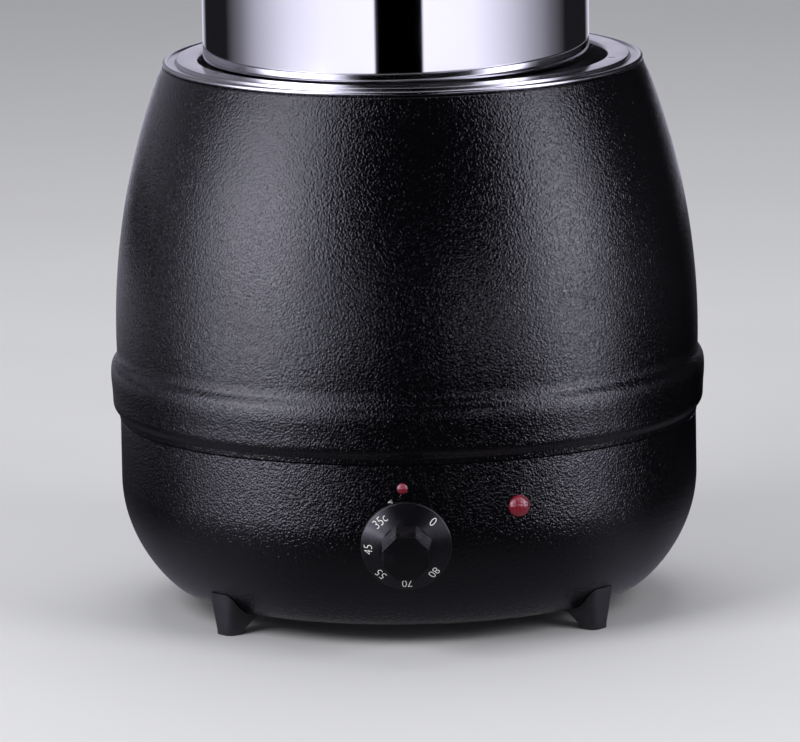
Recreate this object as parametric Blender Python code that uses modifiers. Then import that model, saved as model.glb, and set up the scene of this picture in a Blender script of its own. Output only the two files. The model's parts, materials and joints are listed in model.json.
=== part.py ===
"""Soup kettle warmer: a water bath kettle with a lift-out pot, a lift-off lid and a thermostat knob.

Metres, +Z up. The knob faces -Y, +X is to the right, and the origin is on the table under the axis.
Azimuths are in degrees from the front, towards +X. The pot stands lifted clear of its well.
"""

import math

import bmesh
import bpy
from mathutils import Matrix, Vector

# Sheet, clearances and facets
sheet = 0.0010  # casing and base
pan_sheet = 0.0010  # well, pot and lid
fit_gap = 0.0003  # between pieces that seat on each other
cut_overrun = 0.0020
weld_distance = 0.00001
drill_reach = 0.0060
pan_head_crown_share = 0.75
wide_facets = 48
pan_facets = 36
dial_facets = 32
pipe_facets = 12
screw_facets = 8
lid_knob_facets = 16

# Casing: a barrel that swells to its belly above a pressed belt
floor_height = 0.0117
base_rounding_height = 0.0629
base_wall_height = 0.0350
belt_height = 0.0367
belly_above_belt = 0.0130
shoulder_height = 0.1520
belly_radius = 0.1664
barrel_arc_radius = 0.4110
belt_rise = 0.0036
belt_lip_rise = -0.0010  # the lip is drawn in to the base's wall
belt_height_shares = (1.0, 0.866, 0.73, 0.474, 0.245, 0.169, 0.093, 0.065, 0.0)
belt_rise_shares = (0.0, 0.8, 1.0, 0.84, 0.72, 0.45, -0.10)  # at all but the lip's two points
casing_corner_radius = 0.0015
casing_lip_width = 0.0105

# Base pan: a drawn bowl under the belt
base_inset = 0.0016
base_rounding_run = 0.0339
base_upper_handle = 0.0369
base_lower_handle = 0.0054
joggle_height = 0.0008
rim_overlap = 0.0220

# Well: a water pan with a beaded flange that covers the casing's rim
ring_width = 0.0207
ring_bead_radius = 0.00145
groove_drop = 0.0012  # of the flange beside the bead, below the bead's top
collar_rise = 0.0009
collar_width = 0.0125
collar_step_run = 0.0006
ring_overlap = 0.0005
well_neck_radius = 0.0010
well_corner_radius = 0.0160
underfloor_space = 0.0453

# Soup pot
pot_clearance = 0.0066
pot_side_offset = -0.0036  # it hangs a little to the left, inside its play in the well
pot_lift = 0.2389
pot_seat_width = 0.0100
pot_rim_bead_radius = 0.0016
pot_rim_bead_drop = 0.0002  # below the flange's underside
pot_neck_radius = 0.0030
pot_corner_radius = 0.0020
water_gap = 0.0171

# Lid
lid_rim_inset = 0.0020
lid_groove_clearance = 0.0022
lid_groove_width = 0.0040
lid_groove_depth = 0.0065
lid_shoulder_run = 0.0100
lid_shoulder_height = 0.0060
lid_crown_height = 0.0120
ladle_notch_width = 0.0260
ladle_notch_depth = 0.0270
ladle_notch_azimuth_deg = 90
lid_knob_radius = 0.0170
lid_knob_height = 0.0290
lid_knob_foot_radius = 0.0100
lid_knob_waist_radius = 0.0075
lid_knob_neck_share = 0.40
lid_knob_brim_share = 0.62
lid_knob_edge_share = 0.10
lid_knob_crown_share = 0.16
lid_knob_cap_share = 0.90
lid_knob_bore_depth = 0.0150
lid_screw_radius = 0.0025
lid_screw_head_radius = 0.0055
lid_screw_head_height = 0.0030
lid_screw_setback = 0.0004

# Feet
foot_pad_outset = 0.0065  # from the bowl's flat bottom
foot_pad_half_width = 0.0070
foot_pad_corner_radius = 0.0048
foot_pad_height = 0.0025
foot_spread = 0.0040
foot_toe_lean = 0.0025
foot_heel_run = 0.0420
foot_loft_height = 0.0275
foot_top_corner_radius = 0.0080
foot_ear_thickness = 0.0023
foot_ear_half_width = 0.0085
foot_web_half_width = 0.0080
foot_screw_inset = 0.0155
foot_azimuths_deg = {"front_left": -48, "front_right": 48, "rear_right": 132, "rear_left": 228}
foot_screw_radius = 0.0020
foot_screw_head_radius = 0.0038
foot_screw_head_height = 0.0018
foot_nut_radius = 0.0040
foot_nut_height = 0.0030
foot_screw_end = 0.0010

# Bottom cover
cover_overlap = 0.0110
cover_nut_clearance = 0.0098
cover_thickness = 0.0010
cover_screw_count = 3
cover_screw_radius = 0.0018
cover_screw_head_radius = 0.0034
cover_screw_head_height = 0.0016
cover_screw_grip = 0.0040
vent_count = 8
vent_width = 0.0040
vent_length = 0.0200
vent_margin = 0.0100

# Tie rods that pull the well, the casing and the base together
tie_rod_count = 3
tie_rod_radius = 0.0025
tie_rod_inset = 0.0055  # from the well's flat floor
tie_nut_radius = 0.0052
tie_nut_height = 0.0040
tie_rod_end = 0.0010

# Heating element, clamped under the well
element_rod_clearance = 0.0115
element_tube_radius = 0.0040
element_gap_half_deg = 12
element_bend_radius = 0.0080
element_leg_length = 0.0100
element_pin_radius = 0.0015
element_pin_length = 0.0060
clamp_bar_overhang = 0.0060
clamp_bar_width = 0.0140
clamp_bar_thickness = 0.0020
clamp_stud_radius = 0.0030
clamp_stud_end = 0.0012
clamp_nut_radius = 0.0058
clamp_nut_height = 0.0050

# Thermostat
control_drop = 0.0100  # from the top of the bowl's rounding
control_azimuth_deg = -0.8
thermostat_setback = 0.0060
thermostat_width = 0.0440
thermostat_height = 0.0380
thermostat_depth = 0.0240
thermostat_terminal_share = 0.34  # of the body's width, from its middle
boss_width = 0.0340
boss_height = 0.0110
boss_setback = 0.0031
shaft_radius = 0.0030
shaft_flat_depth = 0.0012
shaft_socket_depth = 0.0100
shaft_hole_radius = 0.0046
control_screw_spacing = 0.0280
control_screw_radius = 0.0017
control_screw_head_radius = 0.0032
control_screw_head_height = 0.0018
control_screw_length = 0.0080
bulb_radius = 0.0030
bulb_length = 0.0600
bulb_bar_clearance = 0.0059
capillary_radius = 0.0009
capillary_drop = 0.0130
clip_strip = 0.0008
clip_width = 0.0100
clip_flange = 0.0050

# Control knob
knob_standoff = 0.0010
skirt_radius = 0.0265
skirt_edge_height = 0.0022
skirt_crown_height = 0.0024
skirt_recess_radius = 0.0215
skirt_recess_depth = 0.0022
grip_base_half_width = 0.0145
grip_tip_half_width = 0.0134
grip_length = 0.0200
grip_edge_radius = 0.0006
grip_facets = 8
knob_hub_wall = 0.0027
knob_bore_depth = 0.0160

# Pilot lamps
power_lamp_azimuth_deg = 21.6
power_lamp_rise = 0.0084  # above the bowl's rounding
power_lens_radius = 0.0063
power_dome_height = 0.0048
power_body_length = 0.0180
heating_lamp_azimuth_deg = -1.4
heating_lamp_rise = 0.0214
heating_lens_radius = 0.0031
heating_dome_height = 0.0020
heating_body_length = 0.0140
lens_neck_inset = 0.0010
lens_neck_length = 0.0045
lamp_clip_width = 0.0032
lamp_clip_thickness = 0.0008
lamp_clip_setback = 0.0007

# Thermal cut-out
cutout_bar_clearance = 0.0080
cutout_flange_radius = 0.0110
cutout_flange_height = 0.0012
cutout_radius = 0.0080
cutout_height = 0.0090
cutout_blade_width = 0.0048
cutout_blade_thickness = 0.0010
cutout_blade_length = 0.0080
cutout_blade_spacing = 0.0090

# Terminal block and cord gland at the rear
block_width = 0.0360
block_depth = 0.0200
block_height = 0.0160
block_edge_radius = 0.0010
block_azimuth_deg = 158.2
block_inset = 0.0232
block_screw_radius = 0.0018
block_screw_head_radius = 0.0035
block_screw_head_height = 0.0020
block_entry_spacing = 0.0120
gland_rise = 0.0094  # above the bowl's rounding
gland_thread_radius = 0.0077
gland_bore_radius = 0.0042
gland_hex_radius = 0.0118
gland_hex_length = 0.0050
gland_thread_length = 0.0110
gland_collet_radius = 0.0062
gland_collet_length = 0.0090
gland_dome_radius = 0.0105
gland_dome_tip_radius = 0.0078
gland_dome_length = 0.0165
lock_nut_length = 0.0045
lock_nut_setback = 0.0008

# Wiring
lead_radius = 0.0012
lead_stub = 0.0070
wiring_clearance = 0.0120
lead_sample_count = 3

# Sizes that follow from the driving ones
rounding_top = floor_height + base_rounding_height
seam_height = rounding_top + base_wall_height
belt_top_height = seam_height + belt_height
belly_height = belt_top_height + belly_above_belt
casing_top_height = belly_height + shoulder_height
base_radius = belly_radius - base_inset
flat_radius = base_radius - base_rounding_run
ring_bead_height = casing_top_height + fit_gap + ring_bead_radius
ring_top_height = ring_bead_height + ring_bead_radius
flange_top_height = ring_top_height + collar_rise
collar_drop = collar_rise + groove_drop
well_under_height = floor_height + underfloor_space
well_floor_height = well_under_height + pan_sheet
pot_depth = flange_top_height + fit_gap + pot_rim_bead_drop - well_floor_height - water_gap
pot_bottom_height = well_floor_height + water_gap + pot_lift
element_height = well_under_height - fit_gap - element_tube_radius
ear_under = floor_height - fit_gap - foot_ear_thickness
foot_circle_radius = flat_radius + foot_pad_outset
foot_screw_circle_radius = flat_radius - foot_screw_inset
control_height = rounding_top - control_drop
power_lamp_height = rounding_top + power_lamp_rise
heating_lamp_height = rounding_top + heating_lamp_rise
gland_height = rounding_top + gland_rise
bulb_offset = clamp_bar_width / 2 + bulb_bar_clearance + clip_flange + clip_strip + fit_gap + bulb_radius
cutout_offset = clamp_bar_width / 2 + cutout_bar_clearance + cutout_flange_radius
wiring_height = floor_height + sheet + wiring_clearance
block_base_height = floor_height + sheet + fit_gap


def belly_radius_at(height):
    """Outer radius of the barrel at a height."""
    rise = height - belly_height
    return belly_radius - barrel_arc_radius + math.sqrt(barrel_arc_radius**2 - rise**2)


casing_top_radius = belly_radius_at(casing_top_height)
well_radius = casing_top_radius - ring_width
well_wall_radius = well_radius + pan_sheet
tie_rod_circle_radius = well_wall_radius - well_corner_radius - tie_rod_inset
element_ring_radius = tie_rod_circle_radius - tie_rod_radius - element_rod_clearance - element_tube_radius
element_bend_deg = math.degrees(element_bend_radius / element_ring_radius)
service_opening_radius = tie_rod_circle_radius - tie_nut_radius - cover_nut_clearance - cover_overlap
vent_circle_radius = service_opening_radius - vent_margin - vent_length / 2 - vent_width / 2
ring_bead_circle_radius = casing_top_radius - ring_overlap - ring_bead_radius
pot_radius = well_radius - pot_clearance
pot_flange_radius = well_radius + pot_seat_width
pot_mouth_radius = pot_radius - pan_sheet
lid_rim_radius = pot_flange_radius - 2 * pot_rim_bead_radius - lid_rim_inset

# Turns that walk half a circle, from its top round to its foot and from its side round to the other
half_circle_steps = 4
half_circle_turns = [math.pi * (i / half_circle_steps - 0.5) for i in range(half_circle_steps + 1)]
half_circle_from_zero = [math.pi * i / half_circle_steps for i in range(half_circle_steps + 1)]


# Scene and materials


def cleared_scene():
    """Remove what the scene holds and return a collection for the parts and one for the cutters."""
    for obj in list(bpy.data.objects):
        bpy.data.objects.remove(obj, do_unlink=True)
    for collection in list(bpy.data.collections):
        bpy.data.collections.remove(collection)
    made = []
    for name in ("soup_kettle_warmer", "soup_kettle_warmer_cutters"):
        collection = bpy.data.collections.new(name)
        bpy.context.scene.collection.children.link(collection)
        made.append(collection)
    return made


parts, cutters = cleared_scene()


def finish_of(name, colour, roughness, metallic=0.0):
    """A Principled material."""
    material = bpy.data.materials.new(name)
    material.use_nodes = True
    shader = material.node_tree.nodes["Principled BSDF"]
    shader.inputs["Base Color"].default_value = (*colour, 1.0)
    shader.inputs["Roughness"].default_value = roughness
    shader.inputs["Metallic"].default_value = metallic
    material.diffuse_color = (*colour, 1.0)
    return material


black_coat = finish_of("black_powder_coat", (0.012, 0.012, 0.018), 0.45)
polished_steel = finish_of("polished_steel", (0.80, 0.80, 0.82), 0.08, 1.0)
satin_steel = finish_of("satin_steel", (0.66, 0.66, 0.68), 0.28, 1.0)
plated_steel = finish_of("plated_steel", (0.55, 0.55, 0.53), 0.35, 1.0)
black_plastic = finish_of("black_plastic", (0.010, 0.010, 0.013), 0.22)
foot_plastic = finish_of("foot_plastic", (0.010, 0.010, 0.011), 0.55)
red_lens = finish_of("red_lens", (0.45, 0.010, 0.012), 0.12)
element_steel = finish_of("element_sheath", (0.24, 0.23, 0.22), 0.45, 1.0)
white_ceramic = finish_of("white_ceramic", (0.75, 0.73, 0.68), 0.5)
brass = finish_of("brass", (0.60, 0.42, 0.16), 0.3, 1.0)
copper = finish_of("copper", (0.60, 0.28, 0.16), 0.3, 1.0)
grey_nylon = finish_of("grey_nylon", (0.05, 0.05, 0.055), 0.5)


# Placing


def around(radius, azimuth_deg, height=0.0):
    """The point at a radius from the axis, an azimuth from the front and a height."""
    turn = math.radians(azimuth_deg)
    return Vector((radius * math.sin(turn), -radius * math.cos(turn), height))


def frame_at(origin, outward):
    """A frame whose +Z points outward and whose +X is level."""
    z = Vector(outward).normalized()
    x = Vector((0, 0, 1)).cross(z).normalized()
    y = z.cross(x)
    frame = Matrix((x, y, z)).transposed().to_4x4()
    frame.translation = origin
    return frame


def marker(name, frame, parent=None):
    """An empty that carries pieces."""
    empty = bpy.data.objects.new(name, None)
    empty.empty_display_size = sheet
    parts.objects.link(empty)
    empty.parent = parent
    empty.matrix_local = frame
    bpy.context.view_layer.update()
    return empty


def carried(obj, carrier):
    """Hang an object on an empty, keeping its own place in the empty's frame."""
    obj.parent = carrier
    return obj


def moved(obj, x=0.0, y=0.0, z=0.0):
    """Place an object by its location."""
    obj.location = (x, y, z)
    return obj


# Modelling


def solid(name, mesh, material):
    """An object of the kettle from a mesh."""
    obj = bpy.data.objects.new(name, mesh)
    mesh.materials.append(material)
    parts.objects.link(obj)
    return obj


def turned(name, outline, material, closed=False, facets=wide_facets, wall=None):
    """Spin an outline of (radius, height) points that runs down its outer side.

    A wall makes a shell whose outer side is the outline.
    """
    mesh = bpy.data.meshes.new(name)
    edges = [(i, i + 1) for i in range(len(outline) - 1)]
    if closed:
        edges.append((len(outline) - 1, 0))
    mesh.from_pydata([(radius, 0, height) for radius, height in outline], edges, [])
    obj = solid(name, mesh, material)
    spin = obj.modifiers.new("Spin", "SCREW")
    spin.steps = facets
    spin.render_steps = facets
    spin.use_merge_vertices = True
    spin.merge_threshold = weld_distance
    if wall:
        shell = obj.modifiers.new("Wall", "SOLIDIFY")
        shell.thickness = wall
        shell.offset = -1
        shell.use_even_offset = True
    return obj


def rod(name, radius, low, high, material, facets=pipe_facets, tip_radius=None, turn=0.0):
    """A cylinder, prism or taper along Z between two heights, with an edge at +X unless it is turned."""
    mesh = bpy.data.meshes.new(name)
    form = bmesh.new()
    bmesh.ops.create_cone(
        form,
        cap_ends=True,
        segments=facets,
        radius1=radius,
        radius2=radius if tip_radius is None else tip_radius,
        depth=high - low,
        matrix=Matrix.Translation((0, 0, (low + high) / 2)) @ Matrix.Rotation(turn, 4, "Z"),
    )
    form.to_mesh(mesh)
    form.free()
    return solid(name, mesh, material)


def bore(name, radius, low, high, facets=pipe_facets):
    """A cylinder to cut a hole with, whose flats lie at the radius."""
    flats = math.pi / facets
    return rod(name, radius / math.cos(flats), low, high, plated_steel, facets, turn=flats)


def block(name, size, centre, material):
    """A box of a size about a centre."""
    mesh = bpy.data.meshes.new(name)
    form = bmesh.new()
    place = Matrix.Translation(centre) @ Matrix.Diagonal((*size, 1))
    bmesh.ops.create_cube(form, size=1, matrix=place)
    form.to_mesh(mesh)
    form.free()
    return solid(name, mesh, material)


def plate(name, outline, low, high, material):
    """A flat outline in XY, filled and extruded between two heights."""
    curve = bpy.data.curves.new(name, "CURVE")
    curve.dimensions = "2D"
    curve.fill_mode = "BOTH"
    curve.extrude = (high - low) / 2
    spline = curve.splines.new("POLY")
    spline.points.add(len(outline) - 1)
    for point, (x, y) in zip(spline.points, outline):
        point.co = (x, y, 0, 1)
    spline.use_cyclic_u = True
    obj = bpy.data.objects.new(name, curve)
    obj.location = (0, 0, (low + high) / 2)
    parts.objects.link(obj)
    return meshed(obj, material)


def tube(name, path, radii, material, resolution=2):
    """A round bar along a path, with a radius at each point."""
    curve = bpy.data.curves.new(name, "CURVE")
    curve.dimensions = "3D"
    curve.bevel_depth = max(radii)
    curve.bevel_resolution = resolution
    curve.use_fill_caps = True
    spline = curve.splines.new("POLY")
    spline.points.add(len(path) - 1)
    for point, place, radius in zip(spline.points, path, radii):
        point.co = (*place, 1)
        point.radius = radius / max(radii)
    obj = bpy.data.objects.new(name, curve)
    parts.objects.link(obj)
    return meshed(obj, material)


def lofted(name, sections, material):
    """A skin over rings of points that have the same count, with both ends filled."""
    mesh = bpy.data.meshes.new(name)
    form = bmesh.new()
    rings = [[form.verts.new(point) for point in ring] for ring in sections]
    for low, high in zip(rings, rings[1:]):
        for i in range(len(low)):
            j = (i + 1) % len(low)
            form.faces.new((low[i], low[j], high[j], high[i]))
    form.faces.new(list(reversed(rings[0])))
    form.faces.new(rings[-1])
    bmesh.ops.recalc_face_normals(form, faces=form.faces)
    form.to_mesh(mesh)
    form.free()
    return solid(name, mesh, material)


def meshed(obj, material):
    """Turn a curve object into a welded mesh object of the same name and place."""
    bpy.context.view_layer.update()
    seen = obj.evaluated_get(bpy.context.evaluated_depsgraph_get())
    mesh = bpy.data.meshes.new_from_object(seen)
    form = bmesh.new()
    form.from_mesh(mesh)
    bmesh.ops.remove_doubles(form, verts=form.verts, dist=weld_distance)
    bmesh.ops.recalc_face_normals(form, faces=form.faces)
    form.to_mesh(mesh)
    form.free()
    mesh.materials.clear()
    name, place = obj.name, obj.matrix_world.copy()
    curve = obj.data
    bpy.data.objects.remove(obj)
    bpy.data.curves.remove(curve)
    made = solid(name, mesh, material)
    made.matrix_world = place
    return made


def rounded(obj, radius, segments=1, angle_deg=30):
    """Round the sharp edges."""
    bevel = obj.modifiers.new("Edges", "BEVEL")
    bevel.width = radius
    bevel.segments = segments
    bevel.limit_method = "ANGLE"
    bevel.angle_limit = math.radians(angle_deg)
    return obj


def combined(target, other, operation):
    """A Boolean of one object with another, which becomes a hidden guide."""
    change = target.modifiers.new(other.name, "BOOLEAN")
    change.operation = operation
    change.solver = "EXACT"
    change.object = other
    other.hide_render = True
    other.display_type = "WIRE"
    if other.name in parts.objects:
        parts.objects.unlink(other)
        cutters.objects.link(other)
    return target


def cut(target, cutter):
    return combined(target, cutter, "DIFFERENCE")


def joined(target, piece):
    return combined(target, piece, "UNION")


def settled():
    """Make every piece a plain mesh, smooth where it is round and crisp at its edges."""
    bpy.context.view_layer.update()
    graph = bpy.context.evaluated_depsgraph_get()
    pieces = [obj for obj in parts.objects if obj.type == "MESH"]
    meshes = [bpy.data.meshes.new_from_object(obj.evaluated_get(graph)) for obj in pieces]
    for obj, mesh in zip(pieces, meshes):
        obj.modifiers.clear()
        obj.data = mesh
        mesh.name = obj.name
        mesh.shade_smooth()
        mesh.set_sharp_from_angle(angle=math.radians(32))


# Outlines


def arc(centre_r, centre_z, radius, start_deg, end_deg, steps):
    """Points of an arc in an outline, with both ends."""
    points = []
    for i in range(steps + 1):
        turn = math.radians(start_deg + (end_deg - start_deg) * i / steps)
        points.append((centre_r + radius * math.cos(turn), centre_z + radius * math.sin(turn)))
    return points


def offset_line(line, distance):
    """Move an outline along its outward normals."""
    moved_line = []
    for i, (r, z) in enumerate(line):
        before, after = line[max(i - 1, 0)], line[min(i + 1, len(line) - 1)]
        run, drop = after[0] - before[0], after[1] - before[1]
        length = math.hypot(run, drop)
        moved_line.append((r - drop / length * distance, z + run / length * distance))
    return moved_line


def base_curve(share):
    """A point of the bowl's rounding, from the wall at 0 to the flat bottom at 1."""
    ends = (
        (base_radius, rounding_top),
        (base_radius, rounding_top - base_upper_handle),
        (flat_radius + base_lower_handle, floor_height),
        (flat_radius, floor_height),
    )
    rest = 1 - share
    weights = (rest**3, 3 * rest**2 * share, 3 * rest * share**2, share**3)
    return tuple(sum(w * end[axis] for w, end in zip(weights, ends)) for axis in (0, 1))


def base_frame(azimuth_deg, height):
    """The frame on the base pan's outer side, square to the wall at that height."""
    if height >= rounding_top:
        return frame_at(around(base_radius, azimuth_deg, height), around(1, azimuth_deg))
    low, high = 0.0, 1.0
    for _ in range(40):
        middle = (low + high) / 2
        if base_curve(middle)[1] > height:
            low = middle
        else:
            high = middle
    radius = base_curve(low)[0]
    step_share = 0.001
    above, below = base_curve(low), base_curve(low + step_share)
    tilt = math.degrees(math.atan2(above[0] - below[0], above[1] - below[1]))
    outward = around(math.cos(math.radians(tilt)), azimuth_deg, -math.sin(math.radians(tilt)))
    return frame_at(around(radius, azimuth_deg, height), outward)


def belt_line():
    """The belt's outer side, from its foot on the barrel down to the lip."""
    rises = [share * belt_rise for share in belt_rise_shares] + [belt_lip_rise, belt_lip_rise]
    foot_radius = belly_radius_at(belt_top_height)
    return [
        (foot_radius + rise, seam_height + share * belt_height)
        for share, rise in zip(belt_height_shares, rises)
    ]


def casing_line():
    """The casing's outer side, from the turned-in lip at the top down to the belt's lip."""
    corner_r = casing_top_radius - casing_corner_radius
    corner_z = casing_top_height - casing_corner_radius
    line = [(casing_top_radius - casing_lip_width, casing_top_height)]
    line += arc(corner_r, corner_z, casing_corner_radius, 90, 10, 2)
    steps = 5
    for i in range(1, steps):
        height = corner_z + (belt_top_height - corner_z) * i / steps
        line.append((belly_radius_at(height), height))
    return line + belt_line()


def base_line():
    """The base pan's outer side, from its rim inside the belt's lip down and in to the service opening."""
    rim_radius = belt_line()[-1][0] - sheet - fit_gap
    line = [(rim_radius, seam_height + rim_overlap), (rim_radius, seam_height)]
    line.append((base_radius, seam_height - joggle_height))
    steps = 6
    line += [base_curve(i / steps) for i in range(steps + 1)]
    return line


def vessel_line(flange_radius, flange_top, wall_radius, under, floor_corner, neck, bead, step=None):
    """The section of an open vessel of pan sheet with a beaded flange.

    It runs from the axis over the floor, up the inside, out over the flange, down a step of
    (radius, run, drop) if there is one, round the bead and back down the outside to the axis.
    """
    step_r, run, drop = step or (0, 0, 0)
    flange_under = flange_top - pan_sheet
    rim_top, rim_under = flange_top - drop, flange_under - drop
    bead_r = flange_radius - bead[0]
    bead_z = bead[1]
    over = math.degrees(math.asin((rim_top - bead_z) / bead[0]))
    below = math.degrees(math.asin((rim_under - bead_z) / bead[0]))
    corner_r, corner_z = wall_radius - floor_corner, under + floor_corner
    neck_r, neck_z = wall_radius + neck, flange_under - neck
    line = [(0, under + pan_sheet)]
    line += arc(corner_r, corner_z, floor_corner - pan_sheet, -90, 0, 3)
    line += arc(neck_r, neck_z, neck + pan_sheet, 180, 90, 2)
    if step:
        line += [(step_r, flange_top), (step_r + run, rim_top)]
    line += arc(bead_r, bead_z, bead[0], 180 - over, -180 - below, 6)
    if step:
        inner_r = step_r - pan_sheet * (math.hypot(run, drop) - run) / drop
        line += [(inner_r + run, rim_under), (inner_r, flange_under)]
    line += arc(neck_r, neck_z, neck, 90, 180, 2)
    line += arc(corner_r, corner_z, floor_corner, 0, -90, 3)
    line.append((0, under))
    return line


def rounded_box_ring(low_r, high_r, half_width, corner, height, corner_steps=2):
    """A rounded rectangle that is long in the radial direction, as points at a height."""
    ring = []
    centres = (
        (high_r - corner, half_width - corner, 0),
        (low_r + corner, half_width - corner, 90),
        (low_r + corner, corner - half_width, 180),
        (high_r - corner, corner - half_width, 270),
    )
    for centre_r, centre_t, start_deg in centres:
        for i in range(corner_steps + 1):
            turn = math.radians(start_deg + 90 * i / corner_steps)
            ring.append((centre_r + corner * math.cos(turn), centre_t + corner * math.sin(turn), height))
    return ring


def smooth_path(stations, samples):
    """Points of a smooth curve through stations, whose bends keep to the length of each stretch."""
    last = len(stations) - 1
    ways = [(stations[min(i + 1, last)] - stations[max(i - 1, 0)]).normalized() for i in range(last + 1)]
    path = []
    for i in range(last):
        start, end = stations[i], stations[i + 1]
        reach = (end - start).length
        for j in range(samples):
            t = j / samples
            path.append(
                start * (1 - 3 * t**2 + 2 * t**3)
                + end * (3 * t**2 - 2 * t**3)
                + ways[i] * reach * (t - 2 * t**2 + t**3)
                + ways[i + 1] * reach * (t**3 - t**2)
            )
    path.append(stations[-1])
    return path


# Fasteners and other repeated pieces


def shared_mesh(obj):
    """Work an object's modifiers into one plain mesh, and remove the object and its guides."""
    bpy.context.view_layer.update()
    mesh = bpy.data.meshes.new_from_object(obj.evaluated_get(bpy.context.evaluated_depsgraph_get()))
    for change in obj.modifiers:
        if change.type == "BOOLEAN":
            bpy.data.objects.remove(change.object, do_unlink=True)
    bpy.data.objects.remove(obj, do_unlink=True)
    return mesh


def copies(mesh, name, frames):
    """One object for each frame, sharing a mesh."""
    made = []
    for key, frame in frames.items():
        obj = bpy.data.objects.new(f"{name}_{key}", mesh)
        obj.matrix_world = frame
        parts.objects.link(obj)
        made.append(obj)
    return made


def nut(name, radius, low, high, bore_radius, material=plated_steel, bore_facets=screw_facets):
    """A hexagon nut on a Z axis."""
    made = rod(name, radius, low, high, material, facets=6)
    return cut(made, bore(name + "_bore", bore_radius, low - cut_overrun, high + cut_overrun, bore_facets))


def screw(name, radius, head_radius, head_height, seat, tip, material=plated_steel):
    """A pan-head screw on a Z axis, whose head bears at the seat and whose shank ends at the tip."""
    facing = 1 if seat > tip else -1
    line = [
        (0, seat + facing * head_height),
        (head_radius * pan_head_crown_share, seat + facing * head_height),
        (head_radius, seat + facing * head_height / 2),
        (head_radius, seat),
        (radius, seat),
        (radius, tip),
        (0, tip),
    ]
    if facing < 0:
        line.reverse()
    return turned(name, line, material, facets=screw_facets)


def drilled(target, name, frame, radius, reach=drill_reach, facets=pipe_facets):
    """Drill a round hole square to a frame."""
    drill = bore(name, radius, -reach, reach, facets)
    drill.matrix_world = frame
    return cut(target, drill)


# Body shells


def make_casing():
    return turned("upper_casing", casing_line(), black_coat, wall=sheet)


def make_base_pan():
    line = base_line() + [(service_opening_radius, floor_height)]
    return turned("base_pan", line, black_coat, wall=sheet)


def make_water_pan():
    line = vessel_line(
        flange_radius=ring_bead_circle_radius + ring_bead_radius,
        flange_top=flange_top_height,
        wall_radius=well_wall_radius,
        under=well_under_height,
        floor_corner=well_corner_radius,
        neck=well_neck_radius,
        bead=(ring_bead_radius, ring_bead_height),
        step=(well_radius + collar_width, collar_step_run, collar_drop),
    )
    return turned("water_pan", line, satin_steel, facets=pan_facets)


# Feet


def foot_mesh():
    """A foot with its toe in +X, a sloping heel, and an ear under the base pan's flat."""
    toe = foot_circle_radius + foot_pad_half_width
    heel = foot_circle_radius - foot_pad_half_width
    rings = [
        rounded_box_ring(heel, toe, foot_pad_half_width, foot_pad_corner_radius, 0),
        rounded_box_ring(heel, toe, foot_pad_half_width, foot_pad_corner_radius, foot_pad_height),
        rounded_box_ring(
            heel - foot_heel_run,
            toe + foot_toe_lean,
            foot_pad_half_width + foot_spread,
            foot_top_corner_radius,
            foot_pad_height + foot_loft_height,
        ),
    ]
    foot = lofted("foot", rings, foot_plastic)
    ear = rod("foot_ear", foot_ear_half_width, ear_under, floor_height + cut_overrun, foot_plastic)
    ear.location = (foot_screw_circle_radius, 0, 0)
    web_length = heel - foot_screw_circle_radius
    web = block(
        "foot_web",
        (web_length, 2 * foot_web_half_width, foot_ear_thickness + fit_gap + cut_overrun),
        (foot_screw_circle_radius + web_length / 2, 0, (ear_under + floor_height + cut_overrun) / 2),
        foot_plastic,
    )
    seat = turned("foot_seat", bowl_seat_line(), foot_plastic)
    joined(foot, ear)
    joined(foot, web)
    cut(foot, seat)
    hole = Matrix.Translation((foot_screw_circle_radius, 0, ear_under))
    drilled(foot, "foot_hole", hole, foot_screw_radius + fit_gap, facets=screw_facets)
    return shared_mesh(foot)


def bowl_seat_line():
    """The space that the bowl takes, with its clearance, closed to the axis at both ends."""
    line = [point for point in base_line() if point[1] <= rounding_top]
    line = offset_line([(base_radius, rounding_top + foot_loft_height)] + line, fit_gap)
    return [(0, line[0][1])] + line + [(0, line[-1][1])]


def make_feet(base_pan):
    turns = {}
    stands = {}
    for place, azimuth in foot_azimuths_deg.items():
        turns[place] = Matrix.Rotation(math.radians(azimuth - 90), 4, "Z")
        stands[place] = Matrix.Translation(around(foot_screw_circle_radius, azimuth))
    copies(foot_mesh(), "foot", turns)
    nut_low = floor_height + sheet + fit_gap
    nut_top = nut_low + foot_nut_height
    fastener = screw(
        "foot_screw",
        foot_screw_radius,
        foot_screw_head_radius,
        foot_screw_head_height,
        seat=ear_under - fit_gap,
        tip=nut_top + foot_screw_end,
    )
    copies(shared_mesh(fastener), "foot_screw", stands)
    hole_radius = foot_screw_radius + fit_gap
    hexagon = nut("foot_nut", foot_nut_radius, nut_low, nut_top, hole_radius)
    copies(shared_mesh(hexagon), "foot_nut", stands)
    for place, stand in stands.items():
        at_floor = stand @ Matrix.Translation((0, 0, floor_height))
        drilled(base_pan, "foot_drill_" + place, at_floor, hole_radius, facets=screw_facets)


# Bottom cover and tie rods


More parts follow.
